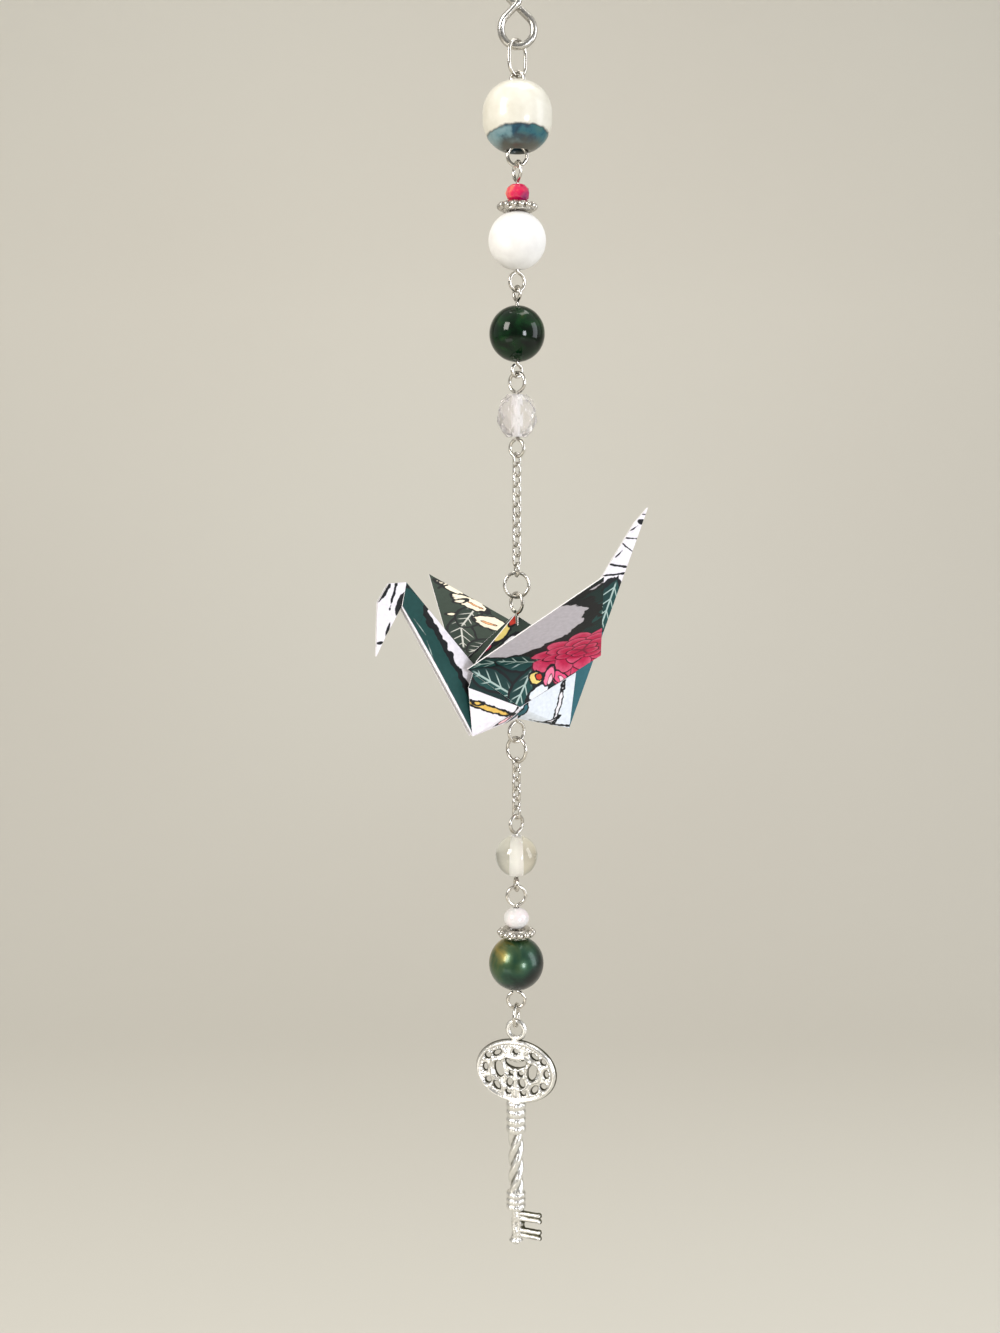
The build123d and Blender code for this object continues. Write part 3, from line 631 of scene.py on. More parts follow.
foldedCrane = makeCrane()
for sheetName in cranePrint:
    foldedCrane.data.materials.append(makePrintedPaper(sheetName))
foldedCrane.data.materials.append(makePlainPaper())
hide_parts("paper_crane")
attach(foldedCrane, "paper_crane")
print("crane folded:", len(foldedCrane.data.polygons), "faces")

# Chain links: closed ovals of plated wire, one tree and one plain mesh for each body
linkLook = {"length": 2.25, "width": 1.63, "wire": 0.38, "uneven": 0.012, "turn": 45, "lastTwist": -23,
            "chains": {"upper_chain_link": 12, "lower_chain_link": 6}, "around": 18, "wireSides": 8,
            "dentScale": 900, "dentShift": -0.7}


# Runs a tree with its inputs in an object's modifier, then keeps the plain mesh and drops the modifier
def growPiece(name, tree, values):
    piece = addObject(name, bpy.data.meshes.new(name + "Start"))
    modifier = piece.modifiers.new("grow", "NODES")
    modifier.node_group = tree
    for item in tree.interface.items_tree:
        if item.in_out == "INPUT":
            modifier[item.identifier] = values[item.name]
    ready = bpy.context.evaluated_depsgraph_get()
    mesh = bpy.data.meshes.new_from_object(piece.evaluated_get(ready), depsgraph=ready)
    mesh.name = name
    piece.modifiers.clear()
    piece.data = mesh
    return piece


# Ends a tree of geometry nodes: plain and smooth geometry in its material
def endTree(add, geometry, material):
    plain = add("RealizeInstances", {"Geometry": geometry})
    soft = add("SetShadeSmooth", {"Geometry": plain})
    done = add("SetMaterial", {"Geometry": soft, "Material": material})
    add("NodeGroupOutput", {"Geometry": done})


# A tube of round wire along a curve
def addTube(add, curve, sides, radius):
    section = add("CurvePrimitiveCircle", {"Resolution": sides, "Radius": radius})
    return add("CurveToMesh", {"Curve": curve, "Profile Curve": section})


def makeLinkTree():
    tree, add, given = startGroup("chainLinkTree", "Geometry", {
        "Length": "Float", "Width": "Float", "Wire": "Float", "Turn": "Float", "Middle": "Vector",
        "Uneven": "Float", "Seed": "Int", "Material": "Material"}, {"Geometry": "Geometry"})
    bend = add("Math", [given["Width"], given["Wire"]], "SUBTRACT")
    bend = add("Math", [bend, 0.5], "MULTIPLY")
    longer = add("Math", [given["Length"], given["Width"]], "SUBTRACT")
    longer = add("Math", [longer, 0.5], "MULTIPLY")
    ring = add("CurvePrimitiveCircle", {"Resolution": linkLook["around"], "Radius": bend})
    x, y, z = add("SeparateXYZ", [add("InputPosition")]).outputs
    side = add("Math", [y], "SIGN")
    pull = add("Math", [side, longer], "MULTIPLY")
    offset = add("CombineXYZ", {"Y": pull})
    oval = add("SetPosition", {"Geometry": ring, "Offset": offset})
    half = add("Math", [given["Wire"], 0.5], "MULTIPLY")
    tube = addTube(add, oval, linkLook["wireSides"], half)
    # dents about a millimetre apart, mostly inward
    dents = add("TexNoise", {"W": given["Seed"], "Scale": linkLook["dentScale"], "Detail": 1.0},
                noise_dimensions="4D")
    dent = add("Math", [dents, linkLook["dentShift"]], "ADD")
    dent = add("Math", [dent, given["Uneven"]], "MULTIPLY")
    inward = add("VectorMath", {0: add("InputNormal"), 3: dent}, "SCALE")
    worn = add("SetPosition", {"Geometry": tube, "Offset": inward})
    upright = add("CombineXYZ", {"X": math.radians(90), "Z": given["Turn"]})
    hung = add("Transform", {"Geometry": worn, "Translation": given["Middle"], "Rotation": upright})
    endTree(add, hung, given["Material"])
    return tree


linkTree = makeLinkTree()
linkSizes = {key.title(): linkLook[key] * mm for key in ("length", "width", "wire", "uneven")}
for prefix, count in linkLook["chains"].items():
    for k in range(count):
        body = f"{prefix}_{k + 1:02d}"
        twist = linkLook["lastTwist"] if body == "upper_chain_link_12" else 0
        link = growPiece("wire" + body.title().replace("_", ""), linkTree, {
            **linkSizes, "Turn": math.radians(linkLook["turn"] + 90 * (k % 2) + twist),
            "Middle": middleOf(body), "Seed": 7 + k, "Material": metals["nickelPlatedWire"]})
        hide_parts(body)
        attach(link, body)
print("chains linked")

# Spacers: a pierced disc with a plain rim below and a row of cast granules, no two quite alike
spacerLook = {"granules": 14, "granule": 1.05, "ring": 4.65, "bore": 2.15, "disc": 4.5, "height": 1.3,
              "rim": 4.66, "rimWire": 0.44, "around": 40, "wireSides": 10, "leastGranule": 0.92}


def makeSpacerTree():
    tree, add, given = startGroup("granuleSpacerTree", "Geometry", {
        "Granules": "Int", "Granule": "Float", "Ring": "Float", "Disc": "Float", "Disc Wire": "Float",
        "Flatten": "Float", "Rim": "Float", "Rim Wire": "Float", "Rim Drop": "Float", "Middle": "Vector",
        "Seed": "Int", "Material": "Material"}, {"Geometry": "Geometry"})
    around = add("CurvePrimitiveCircle", {"Resolution": given["Granules"], "Radius": given["Ring"]})
    ball = add("MeshUVSphere", {"Segments": 12, "Rings": 8, "Radius": given["Granule"]})
    # 2 and 3 are the least and greatest plain number, 8 the seed
    chosen = add("RandomValue", {2: spacerLook["leastGranule"], 3: 1.0, 8: given["Seed"]},
                 data_type="FLOAT")
    parts = [add("InstanceOnPoints", {"Points": around, "Instance": ball, "Scale": chosen})]
    for label, flatten, drop in (("Disc", given["Flatten"], 0.0), ("Rim", 1.0, given["Rim Drop"])):
        ring = add("CurvePrimitiveCircle", {"Resolution": spacerLook["around"],
                                                        "Radius": given[label]})
        tube = addTube(add, ring, spacerLook["wireSides"], given[label + " Wire"])
        shift = add("CombineXYZ", {"Z": drop})
        scale = add("CombineXYZ", {"X": 1.0, "Y": 1.0, "Z": flatten})
        parts.append(add("Transform", {"Geometry": tube, "Translation": shift, "Scale": scale}))
    whole = add("JoinGeometry")
    for part in parts:
        feed(whole, [part])
    placed = add("Transform", {"Geometry": whole, "Translation": given["Middle"]})
    endTree(add, placed, given["Material"])
    return tree


spacerTree = makeSpacerTree()
wall = (spacerLook["disc"] - spacerLook["bore"]) / 4
spacerSizes = {
    "Granules": spacerLook["granules"], "Granule": spacerLook["granule"] / 2 * mm,
    "Ring": spacerLook["ring"] / 2 * mm, "Disc": (spacerLook["bore"] / 2 + wall) * mm, "Disc Wire": wall * mm,
    "Flatten": spacerLook["height"] / 2 / wall, "Rim": (spacerLook["rim"] - spacerLook["rimWire"]) / 2 * mm,
    "Rim Wire": spacerLook["rimWire"] / 2 * mm,
    "Rim Drop": (spacerLook["rimWire"] - spacerLook["height"]) / 2 * mm}
for seed, body in enumerate(("upper_spacer", "lower_spacer")):
    spacer = growPiece("granulated" + body.title().replace("_", ""), spacerTree, {
        **spacerSizes, "Middle": middleOf(body), "Seed": 3 + seed, "Material": metals["antiqueSilver"]})
    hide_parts(body)
    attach(spacer, body)
print("spacers ready")

# Key charm: X across the bow, Z up from the middle of its ring's wire, and the bow's own middle at bowMiddle.
# Collars: top, length, rows, width and granules; shaft: top, length, width, pitch; stem: top, length, width
keyLook = {"turn": -20, "ring": 3.35, "ringWire": 0.8, "bowMiddle": -7.55, "bow": (6.3, 4.85), "cell": 0.11,
           "plate": 0.46, "edgeRound": 0.26, "collars": ((-12.1, 4.8, 4, 3.0, 11), (-26.0, 2.8, 3, 2.95, 11)),
           "shaft": (-16.85, 9.2, 2.3, 9.0), "stem": (-28.7, 5.5, 1.55), "bitTop": -28.85,
           "rim": {"steps": 72, "radius": 0.46, "rise": 1.45}, "dome": 0.12, "thickest": 0.75,
           "granules": {"count": 46, "inset": 1.0, "radius": 0.25, "rise": 2.5}, "plateInset": 0.6,
           "plateDrop": 0.06, "bitThick": (0.28, 0.5), "granuleRise": 0.36, "shaftRod": 0.55, "ringSteps": 40,
           "ringRelief": 0.6, "bitSpan": ((-0.2, 4.4), (-4.8, 0.4))}
# Each opening has a twin: place from the bow's middle, half sizes and tilt
bowOpenings = [(4.35, 1.95, 0.42, 0.42, 0), (4.75, 0.1, 0.3, 0.5, 0), (4.3, -1.8, 0.42, 0.42, 0),
               (2.55, 0.1, 0.62, 1.15, -12), (2.9, 2.5, 0.6, 0.3, -35), (2.95, -2.45, 0.36, 0.62, -35),
               (0.95, -1.75, 0.4, 0.6, 15), (0.72, -0.3, 0.3, 0.3, 0), (1.15, -3.2, 0.32, 0.32, 0)]
# Raised work on one half of the bow: start, end, half width at both ends and rise
bowRaised = [(0, -0.9, 0, -0.5, 0.42, 0.34, 1.3), (0, -1.3, 0, -3.6, 0.2, 0.3, 1.0),
             (0.1, -1.2, 1.7, -0.55, 0.2, 0.28, 1.2),
             (1.7, -0.55, 1.75, 1.0, 0.26, 0.14, 1.3), (0.35, 0.2, 1.5, 1.15, 0.16, 0.3, 1.3),
             (0.0, 2.1, 1.3, 2.15, 0.28, 0.2, 1.2), (1.3, 2.15, 2.2, 1.75, 0.22, 0.16, 1.2),
             (2.2, 1.75, 3.5, 1.35, 0.2, 0.28, 1.2), (3.5, 1.35, 3.9, 0.3, 0.24, 0.14, 1.2),
             (3.9, 0.3, 3.55, -0.9, 0.14, 0.26, 1.2), (3.55, -0.9, 2.3, -1.55, 0.26, 0.16, 1.2),
             (2.3, -1.55, 1.9, -2.4, 0.18, 0.26, 1.2), (1.9, -2.4, 2.3, -3.3, 0.22, 0.16, 1.2),
             (1.6, 2.9, 2.0, 3.4, 0.22, 0.3, 1.2), (0.5, 2.8, 0.0, 3.9, 0.2, 0.34, 1.2),
             (3.6, -2.6, 4.3, -2.7, 0.2, 0.28, 1.2),
             (3.8, 2.5, 4.3, 2.75, 0.2, 0.26, 1.2), (0.3, -2.6, 0.9, -2.65, 0.16, 0.24, 1.2)]
# The smile-shaped opening is one oval less another, and a round one lies above it: middle and half sizes
bowCrescent = (((0, 1.35), (1.55, 0.78)), ((0, 2.13), (1.55, 0.78)))
bowTopHole = ((0, 3.0), (0.35, 0.35))
# Bit: two prongs with knobbed ends and a hole near the stem, as strokes like those above
bitStrokes = [(0.5, -0.5, 0.5, -3.9, 0.5, 0.5, 0.9), (0.3, -0.5, 3.6, -0.5, 0.45, 0.4, 1.0),
              (0.3, -1.3, 3.6, -1.3, 0.48, 0.4, 1.0), (0.3, -3.1, 3.6, -3.1, 0.48, 0.4, 1.0),
              (0.3, -3.9, 3.6, -3.9, 0.45, 0.4, 1.0), (0.7, -2.2, 1.1, -2.2, 0.5, 0.4, 0.8)]
bitStrokes += [(3.64, level, 3.64, level, 0.43, 0.43, 1.15) for level in (-0.45, -1.35, -3.05, -3.95)]
bitHole = ((1.75, -2.2), (0.42, 0.42))


def ovalDepth(x, z, middle, halves, tilt=0):
    a = math.radians(tilt)
    u = ((x - middle[0]) * math.cos(a) + (z - middle[1]) * math.sin(a)) / halves[0]
    v = ((z - middle[1]) * math.cos(a) - (x - middle[0]) * math.sin(a)) / halves[1]
    return (1 - np.hypot(u, v)) * min(halves)


# Depth inside and height of tapered round strokes laid over each other
def strokeRelief(x, z, strokes):
    depth = np.full(x.shape, -9.0)
    height = np.zeros(x.shape)
    for ax, az, bx, bz, ra, rb, rise in strokes:
        dx, dz = bx - ax, bz - az
        t = np.clip(((x - ax) * dx + (z - az) * dz) / max(dx * dx + dz * dz, 1e-9), 0, 1)
        radius = ra + (rb - ra) * t
        off = np.hypot(x - ax - dx * t, z - az - dz * t)
        depth = np.maximum(depth, radius - off)
        height = np.maximum(height, rise * np.sqrt(np.maximum(radius * radius - off * off, 0)))
    return depth, height


# A pierced casting as a grid with a front and a back, whose edge cells are drawn in to where depth is nothing
def addCasting(shape, relief, x, z, depth, height):
    x, z = x.copy(), z.copy()
    inside = depth > 0
    count = np.zeros(x.shape)
    moveX, moveZ = np.zeros(x.shape), np.zeros(x.shape)
    for i in (-1, 0, 1):
        for j in (-1, 0, 1):
            near = [np.roll(grid, (i, j), (0, 1)) for grid in (inside, depth, x, z)]
            use = near[0] & ~inside
            share = np.where(use, -depth / np.where(use, near[1] - depth, 1), 0)
            count += use
            moveX += np.where(use, (near[2] - x) * share, 0)
            moveZ += np.where(use, (near[3] - z) * share, 0)
    rim = (count > 0) & ~inside
    x[rim] += moveX[rim] / count[rim]
    z[rim] += moveZ[rim] / count[rim]
    thick = np.where(inside, height * np.sqrt(np.clip(depth / keyLook["edgeRound"], 0, 1)), 0)
    spots = {}
    for i, j in zip(*np.nonzero(inside | rim)):
        front = shape.verts.new((x[i, j], -thick[i, j], z[i, j]))
        front[relief] = thick[i, j]
        back = front
        if inside[i, j]:
            back = shape.verts.new((x[i, j], thick[i, j], z[i, j]))
            back[relief] = thick[i, j]
        spots[i, j] = (front, back)
    for i, j in zip(*np.nonzero(inside | rim)):
        ring = [(i, j), (i + 1, j), (i + 1, j + 1), (i, j + 1)]
        if all(key in spots for key in ring) and any(inside[key] for key in ring):
            for side, order in ((0, ring), (1, ring[::-1])):
                shape.faces.new([spots[key][side] for key in order]).smooth = True


# Closes a tube between rings of corners
def joinRings(shape, rings):
    for upper, lower in zip(rings, rings[1:]):
        for j in range(len(upper)):
            k = (j + 1) % len(upper)
            shape.faces.new([upper[j], lower[j], lower[k], upper[k]]).smooth = True


# A ring of corners at a height, whose radius, and how far it stands out, come from its angle
def addRing(shape, relief, level, around, radiusAt):
    ring = []
    for j in range(around):
        turn = 2 * math.pi * j / around
        radius, raised = radiusAt(turn)
        ring.append(shape.verts.new((radius * math.cos(turn), radius * math.sin(turn), level)))
        ring[-1][relief] = raised
    return ring


def addRound(shape, relief, top, length, rows, around, radiusAt):
    rings = [addRing(shape, relief, top - length * i / rows, around, partial(radiusAt, i / rows))
             for i in range(rows + 1)]
    joinRings(shape, rings)
    for ring in (rings[0], rings[-1][::-1]):
        shape.faces.new(ring)


def addKeyRing(shape, relief):
    wire = keyLook["ringWire"] / 2
    bend = keyLook["ring"] / 2 - wire
    turns = [2 * math.pi * k / keyLook["ringSteps"] for k in range(keyLook["ringSteps"])]
    rings = []
    for a in turns:
        ring = []
        for b in turns[::3]:
            out = bend + wire * math.cos(b)
            spot = shape.verts.new((out * math.sin(a), wire * math.sin(b), out * math.cos(a) - bend))
            spot[relief] = keyLook["ringRelief"]
            ring.append(spot)
        rings.append(ring)
    joinRings(shape, rings + rings[:1])


# Bow: plate, smooth rim with a row of granules inside it, openings, and raised leaves and scrolls
def addBow(shape, relief):
    across, up = keyLook["bow"]
    cell = keyLook["cell"]
    x, z = np.meshgrid(np.arange(-across - 3 * cell, across + 3 * cell, cell),
                       np.arange(-up - 3 * cell, up + 3 * cell, cell), indexing="ij")
    rim, grains = [], []
    edge, grain = keyLook["rim"], keyLook["granules"]
    for k in range(edge["steps"]):
        a, b = (2 * math.pi * n / edge["steps"] for n in (k, k + 1))
        rim.append(((across - edge["radius"]) * math.cos(a), (up - edge["radius"]) * math.sin(a),
                    (across - edge["radius"]) * math.cos(b), (up - edge["radius"]) * math.sin(b),
                    edge["radius"], edge["radius"], edge["rise"]))
    for k in range(grain["count"]):
        a = 2 * math.pi * (k + 0.5) / grain["count"]
        spot = ((across - grain["inset"]) * math.cos(a), (up - grain["inset"]) * math.sin(a))
        grains.append((*spot, *spot, grain["radius"], grain["radius"], grain["rise"]))
    raised = [(side * ax, az, side * bx, bz, ra, rb, rise) for ax, az, bx, bz, ra, rb, rise in bowRaised
              for side in (-1, 1)]
    rimDepth, rimHeight = strokeRelief(x, z, rim)
    grainHeight = strokeRelief(x, z, grains)[1]
    workHeight = strokeRelief(x, z, raised)[1]
    plate = ovalDepth(x, z, (0, 0), (across - keyLook["plateInset"], up - keyLook["plateInset"]))
    depth = np.maximum(plate, rimDepth)
    for px, pz, halfWidth, halfHeight, tilt in bowOpenings:
        for side in (-1, 1):
            hole = ovalDepth(x, z, (side * px, pz), (halfWidth, halfHeight), side * tilt)
            depth = np.minimum(depth, np.where(rimDepth > 0.1, 9.0, -hole))
    smile, lip = (ovalDepth(x, z, *oval) for oval in bowCrescent)
    depth = np.minimum(depth, -np.minimum(smile, -lip))
    depth = np.minimum(depth, -ovalDepth(x, z, *bowTopHole))
    dome = keyLook["dome"] * np.clip(1 - (x / across) ** 2 - (z / up) ** 2, 0, 1)
    height = keyLook["plate"] - keyLook["plateDrop"] + dome + workHeight
    height = np.maximum(np.maximum(height, rimHeight), grainHeight)
    addCasting(shape, relief, x, z + keyLook["bowMiddle"], depth, np.minimum(height, keyLook["thickest"]))


def addBit(shape, relief):
    across, up = (np.arange(*span, keyLook["cell"]) for span in keyLook["bitSpan"])
    x, z = np.meshgrid(across, up, indexing="ij")
    bitDepth, bitHeight = strokeRelief(x, z, bitStrokes)
    bitDepth = np.minimum(bitDepth, -ovalDepth(x, z, *bitHole))
    addCasting(shape, relief, x, z + keyLook["bitTop"], bitDepth, np.clip(bitHeight, *keyLook["bitThick"]))


# Collars of granules, twisted shaft and stem with a flared foot
def addShank(shape, relief):
    for top, length, rows, width, granules in keyLook["collars"]:
        def collarRadius(t, turn, rows=rows, width=width, granules=granules):
            u = 2 * (t * rows % 1) - 1
            v = 2 * (turn * granules / 2 / math.pi % 1) - 1
            bulge = math.sqrt(max(0, 1 - 0.92 * u * u)) * math.sqrt(max(0, 1 - 0.5 * v * v))
            return width / 2 - keyLook["granuleRise"] + keyLook["granuleRise"] * bulge, 0.3 + 0.45 * bulge
        addRound(shape, relief, top, length, rows * 10, granules * 6, collarRadius)
    top, length, width, pitch = keyLook["shaft"]
    rod = keyLook["shaftRod"]

    def shaftRadius(t, turn):
        best = 0.5
        for k in range(3):
            away = turn + 2 * math.pi * (t * length / pitch + k / 3)
            reach = 0.36 - (rod * math.sin(away)) ** 2
            if reach > 0:
                best = max(best, rod * math.cos(away) + math.sqrt(reach))
        return best * width / 2 / 1.15, 0.75 * (best - 0.5) / 0.65
    addRound(shape, relief, top, length, 60, 36, shaftRadius)
    top, length, width = keyLook["stem"]

    def stemRadius(t, turn):
        flare = max(0, 1 - abs(t - 0.9) / 0.1)
        wear = 0.06 * math.sin(3 * turn + 29 * t) * math.sin(31 * t) + 0.05 * math.sin(2 * turn - 13 * t)
        body = (width / 2 - 0.1 + wear) * min(1, 1 - 5 * (t - 0.92)) if t > 0.92 else width / 2 - 0.1 + wear
        return body + 0.3 * flare ** 2, 0.5 + 2.5 * wear
    addRound(shape, relief, top, length, 40, 24, stemRadius)


def makeKey():
    shape = bmesh.new()
    relief = shape.verts.layers.float.new("relief")
    for addPart in (addKeyRing, addBow, addBit, addShank):
        addPart(shape, relief)
    bmesh.ops.recalc_face_normals(shape, faces=shape.faces)
    low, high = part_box("key_charm")
    shape.transform(Matrix.Scale(mm, 4) @ Matrix.Translation((0, 0, high.z / mm - keyLook["ringWire"] / 2))
                    @ Matrix.Rotation(math.radians(keyLook["turn"]), 4, "Z"))
    return addShape("castKey", shape)


# Silver plate on a cast key: bright and slick where it stands out, dark olive in the recesses, which is
# tarnish together with painted shade
def makeCastSilver():
    material, add, shader = startMaterial("castSilverKey", {"Metallic": 1.0})
    place = placeInMm(add)
    raised = add("Attribute", attribute_name="relief").outputs["Fac"]
    patches = add("TexNoise", {"Vector": place, "Scale": 1.3, "Detail": 3.0})
    level = add("Math", [patches, 0.25, raised], "MULTIPLY_ADD")
    # tarnish and painted shade: where the relief is low, in the recesses, at the openings' edges and between
    # granules, the colour goes to dark olive
    freeOfTarnishAndShade = add("MapRange", [level, 0.3, 0.54])
    silver = add("Mix", {0: patches, 6: "#D2D0CC", 7: "#F6F5F2"}, "RGBA")
    pits = add("TexNoise", {"Vector": place, "Scale": 2.6, "Detail": 4.0})
    feed(shader, {"Base Color": add("Mix", {0: freeOfTarnishAndShade, 6: "#4C4A38", 7: silver}, "RGBA"),
                  "Roughness": add("MapRange", {"Value": freeOfTarnishAndShade, "To Min": 0.45, "To Max": 0.26}),
                  "Normal": add("Bump", {"Height": pits, "Strength": 0.5, "Distance": 0.1 * mm})})
    return material


castKey = makeKey()
castKey.data.materials.append(makeCastSilver())
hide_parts("key_charm")
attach(castKey, "key_charm")
print("key cast:", len(castKey.data.polygons), "faces")

# Cut beads: rings of corners as shares of the bead's half height and half width, every other ring turned by
# half a side, so that flat three-cornered facets lie between them
cutShapes = {
    "crystal_bead": {"name": "cutCrystalBead", "slot": "cut_crystal", "sides": 8, "bore": 0.5,
                     "rings": ((1, 0.5), (0.72, 0.8), (0.26, 0.99), (-0.26, 0.99), (-0.72, 0.8), (-1, 0.5))},
    "pink_bead": {"name": "cutPinkBead", "slot": "pink_stone", "sides": 9, "bore": 0.36,
                  "rings": ((1, 0.6), (0.6, 0.9), (0, 1.0), (-0.6, 0.9), (-1, 0.6))},
}


def makeCutBead(body, look):
    low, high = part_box(body)
    middle, half = (low + high) / 2, (high - low) / 2
    shape = bmesh.new()
    sides = look["sides"]
    rows = [(1, None), *look["rings"], (-1, None)]
    rings = []
    for k, (rise, share) in enumerate(rows):
        radius = look["bore"] * mm if share is None else share * min(half.x, half.y)
        ring = []
        for j in range(sides):
            turn = 2 * math.pi * (j + 0.5 * (k % 2)) / sides
            spot = middle + Vector((radius * math.cos(turn), radius * math.sin(turn), rise * half.z))
            ring.append(shape.verts.new(spot))
        rings.append(ring)
    for k, (upper, lower) in enumerate(zip(rings, rings[1:])):
        for j in range(sides):
            after = (j + 1) % sides
            if k % 2:
                shape.faces.new([upper[j], lower[j], lower[after]])
                shape.faces.new([upper[j], lower[after], upper[after]])
            else:
                shape.faces.new([upper[j], lower[j], upper[after]])
                shape.faces.new([lower[j], lower[after], upper[after]])
    for j in range(sides):
        shape.faces.new([rings[0][j], rings[0][(j + 1) % sides], rings[-1][(j + 1) % sides], rings[-1][j]])
    bmesh.ops.recalc_face_normals(shape, faces=shape.faces)
    return addShape(look["name"], shape)


cutBeads = {body: makeCutBead(body, look) for body, look in cutShapes.items()}
print("beads cut")


# Gives a bead its material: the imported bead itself, or the cut bead that takes its place
def finishBead(material, body):
    if body not in cutBeads:
        dress(material, body)
        return
    cutBeads[body].data.materials.append(material)
    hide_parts(body)
    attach(cutBeads[body], body)


# Beads. Patterns sit in millimetres from each bead's own middle, with the front towards -Y
beadLooks = {
    # Alabaster-white stone, tumbled but hardly polished: even, with faint clouding
    "whiteStone": {"bead": "white_bead", "scale": 0.5, "roughness": 0.62, "gloss": 0.2,
                   "stops": [(0.3, "#DBD9D6"), (0.7, "#E6E5E2")]},
    # Moss agate, polished: dark green with olive clouds, and painted light that makes it faintly lighter
    # towards the upper left
    "mossAgate": {"bead": "green_bead", "scale": 0.42, "roughness": 0.08, "gloss": 0.27,
                  "lean": (-0.012, 0, 0.01),
                  "stops": [(0.3, "#010803"), (0.5, "#031D0A"), (0.62, "#072B10"), (0.78, "#2B360E")]},
    # Lacquered glass pearl: green and teal, with gold painted on one side as its reflection, and painted
    # shade, nearly black, below
    "greenPearl": {"bead": "pearl_bead", "scale": 0.2, "roughness": 0.34, "gloss": 0.5, "metal": 0.55,
                   "coat": 0.4, "coatRough": 0.14, "lean": (-0.07, 0, 0.08),
                   # painted shade in the darkest stop, painted reflection in the gold one
                   "stops": [(0.2, "#020403"), (0.38, "#05211A"), (0.54, "#17402C"), (0.72, "#38522F"),
                             (0.98, "#A38A3A")]},
    # White glass with a pearl wash: milky, a little pink and green in the clouds
    "pearlWash": {"bead": "small_white_bead", "scale": 0.7, "roughness": 0.22, "gloss": 0.5, "coat": 0.4,
                  "stops": [(0.3, "#CBCDCB"), (0.5, "#D6D0CF"), (0.7, "#DDCDD0")]},
    # Dyed cut stone: crimson, with painted light, peach on the upper left where light would come through, and
    # painted shade, a darker magenta, towards the lower right
    "dyedPinkStone": {"bead": "pink_bead", "scale": 0.6, "roughness": 0.07, "gloss": 0.6, "coat": 0.2,
                      "lean": (-0.16, 0, 0.1),
                      "stops": [(0.2, "#8E1257"), (0.45, "#C2154A"), (0.62, "#D22A50"), (0.85, "#F08A66")]},
}
for name, look in beadLooks.items():
    material, add, shader = startMaterial(name, {
        "Roughness": look["roughness"], "Specular IOR Level": look["gloss"],
        "Metallic": look.get("metal", 0.0), "Coat Weight": look.get("coat", 0.0),
        "Coat Roughness": look.get("coatRough", 0.06)})
    place = placeInMm(add, middleOf(look["bead"]))
    clouds = add("TexNoise", {"Vector": place, "Scale": look["scale"], "Detail": 4.0, "Distortion": 0.6})
    # painted light and shade: the lean slopes the tone so that a bead is lighter towards the upper left and
    # darker towards the lower right
    lean = add("VectorMath", [place, look.get("lean", (0, 0, 0))], "DOT_PRODUCT")
    tone = add("Math", [clouds, lean], "ADD")
    skin = add("TexNoise", {"Vector": place, "Scale": 3.5, "Detail": 3.0})
    feed(shader, {"Base Color": add("ValToRGB", [tone], stops=look["stops"]),
                  "Normal": add("Bump", {"Height": skin, "Strength": 0.12, "Distance": 0.05 * mm})})
    finishBead(material, look["bead"])

# Dipped glaze: ivory and a little pitted above, a blue and green dip below whose edge runs dark
glazeLook = {"dipLine": (0.04, -0.16, -1.0), "dipAt": -3.15, "drift": 0.9, "pool": (0.9, 1.8), "run": 0.22,
             "ivory": [(0.3, "#CDC9BB"), (0.7, "#D9D6CA")], "deep": "#4C4D45", "edge": "#10252B",
             "dip": [(0.1, "#7C979C"), (0.34, "#5F828A"), (0.46, "#0B4256"), (0.62, "#032F44"),
                     (0.76, "#1F5A66"), (0.95, "#3A6660")]}


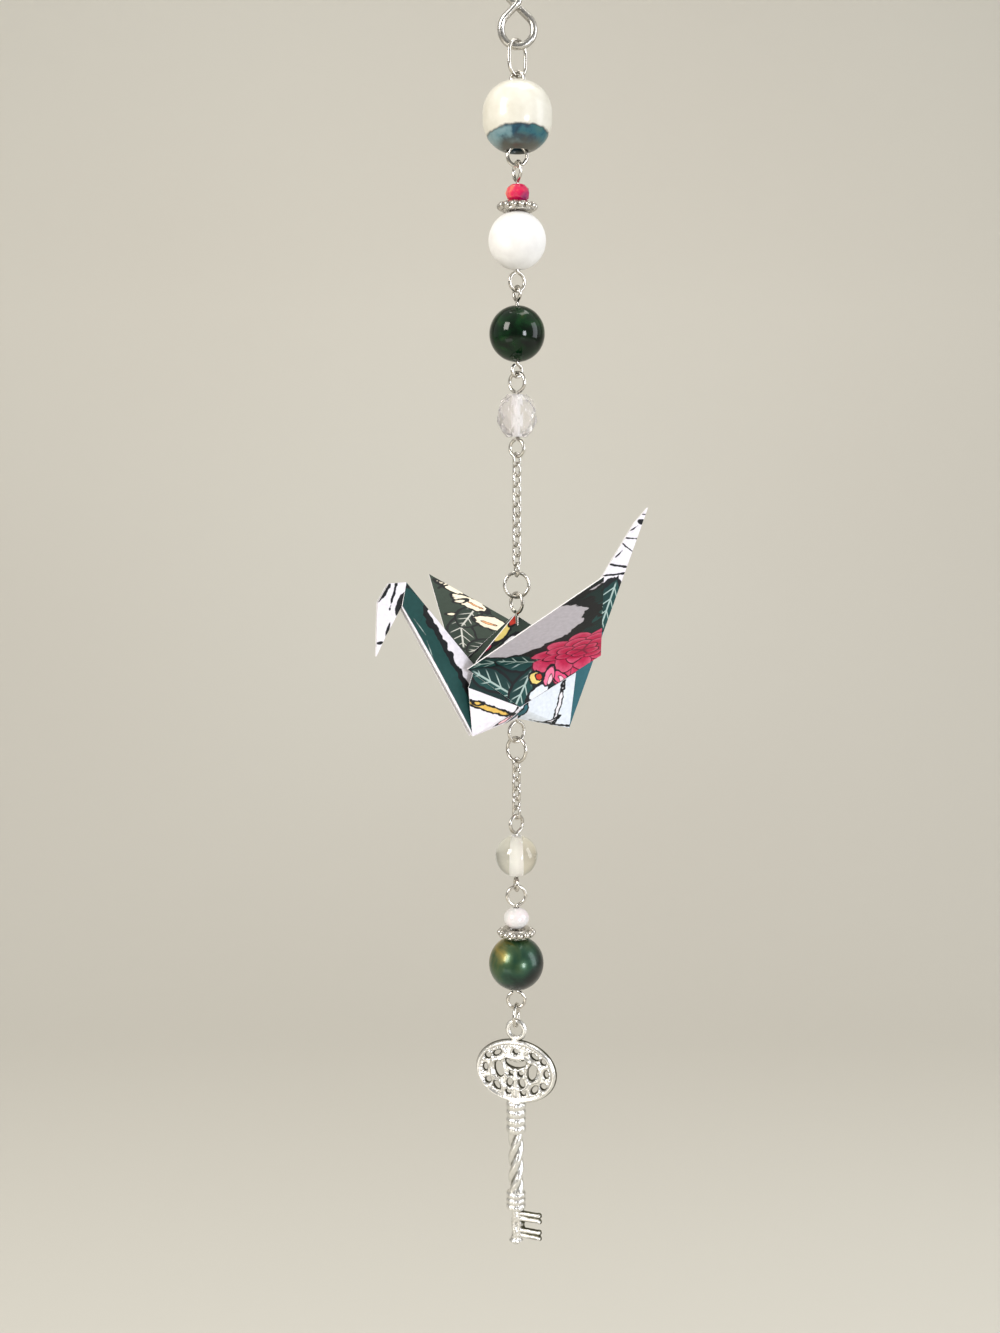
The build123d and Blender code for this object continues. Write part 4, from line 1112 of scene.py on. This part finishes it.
def makeDippedGlaze(look):
    material, add, shader = startMaterial("dippedGlaze", {
        "Roughness": 0.28, "Specular IOR Level": 0.35, "Coat Weight": 0.3, "Coat Roughness": 0.1})
    place = placeInMm(add, middleOf("ceramic_bead"))
    x, y, z = add("SeparateXYZ", [place]).outputs
    drift = add("TexNoise", {"Vector": place, "Scale": 0.55, "Detail": 3.0})
    line = add("VectorMath", [place, look["dipLine"]], "DOT_PRODUCT")
    line = add("Math", [line, look["dipAt"]], "ADD")
    depth = add("Math", [drift, look["drift"], line], "MULTIPLY_ADD")
    side = add("Math", [x, 0.1, drift], "MULTIPLY_ADD")
    dip = add("ValToRGB", [side], stops=look["dip"])
    pool = add("MapRange", [depth, *look["pool"]])
    deep = add("Mix", {0: pool, 6: dip, 7: look["deep"]}, "RGBA")
    ivory = add("ValToRGB", [drift], stops=look["ivory"])
    edge = add("Math", [depth, 7.0, 0.5], "MULTIPLY_ADD", use_clamp=True)
    glazed = add("Mix", {0: edge, 6: ivory, 7: deep}, "RGBA")
    away = add("Math", [depth], "ABSOLUTE")
    run = add("MapRange", [away, 0.0, look["run"], 0.75, 0.0])
    pits = add("TexNoise", {"Vector": place, "Scale": 2.2, "Detail": 3.0})
    feed(shader, {"Base Color": add("Mix", {0: run, 6: glazed, 7: look["edge"]}, "RGBA"),
                  "Normal": add("Bump", {"Height": pits, "Strength": 0.2, "Distance": 0.08 * mm})})
    return material


dress(makeDippedGlaze(glazeLook), "ceramic_bead")

# Clear glass with a frosted bore: slick cut crystal and a pressed bead, each with a painted reflection, a
# faint tint that differs on each side
glassLooks = {
    "cutCrystal": {"bead": "crystal_bead", "left": "#FAF5F7", "right": "#FFFDFB", "bore": 0.52,
                   "roughness": 0.12, "clear": 0.88},
    "pressedGlass": {"bead": "clear_bead", "left": "#F8FAF5", "right": "#FFF8E8", "bore": 0.76,
                     "roughness": 0.01, "clear": 1.0},
}
frostLook = {"edge": 0.04, "clear": 0.05, "roughness": 0.6, "tint": "#FBFAFA"}
tintReach = 2.6
for name, look in glassLooks.items():
    material, add, shader = startMaterial(name, {"IOR": 1.52, "Coat Weight": 0.0})
    place = placeInMm(add, middleOf(look["bead"]))
    x, y, z = add("SeparateXYZ", [place]).outputs
    # painted reflection: the tint goes from the left colour to the right one across the bead
    side = add("MapRange", [x, -tintReach, tintReach])
    tint = add("Mix", {0: side, 6: look["left"], 7: look["right"]}, "RGBA")
    level = add("VectorMath", [place, (1.0, 1.0, 0.0)], "MULTIPLY")
    out = add("VectorMath", [level], "LENGTH")
    bore = add("MapRange", [out, look["bore"], look["bore"] - frostLook["edge"]])
    feed(shader, {"Transmission Weight": add("MapRange", [bore, 0.0, 1.0, look["clear"], frostLook["clear"]]),
                  "Roughness": add("MapRange", [bore, 0.0, 1.0, look["roughness"], frostLook["roughness"]]),
                  "Base Color": add("Mix", {0: bore, 6: tint, 7: frostLook["tint"]}, "RGBA")})
    finishBead(material, look["bead"])
print("beads ready")
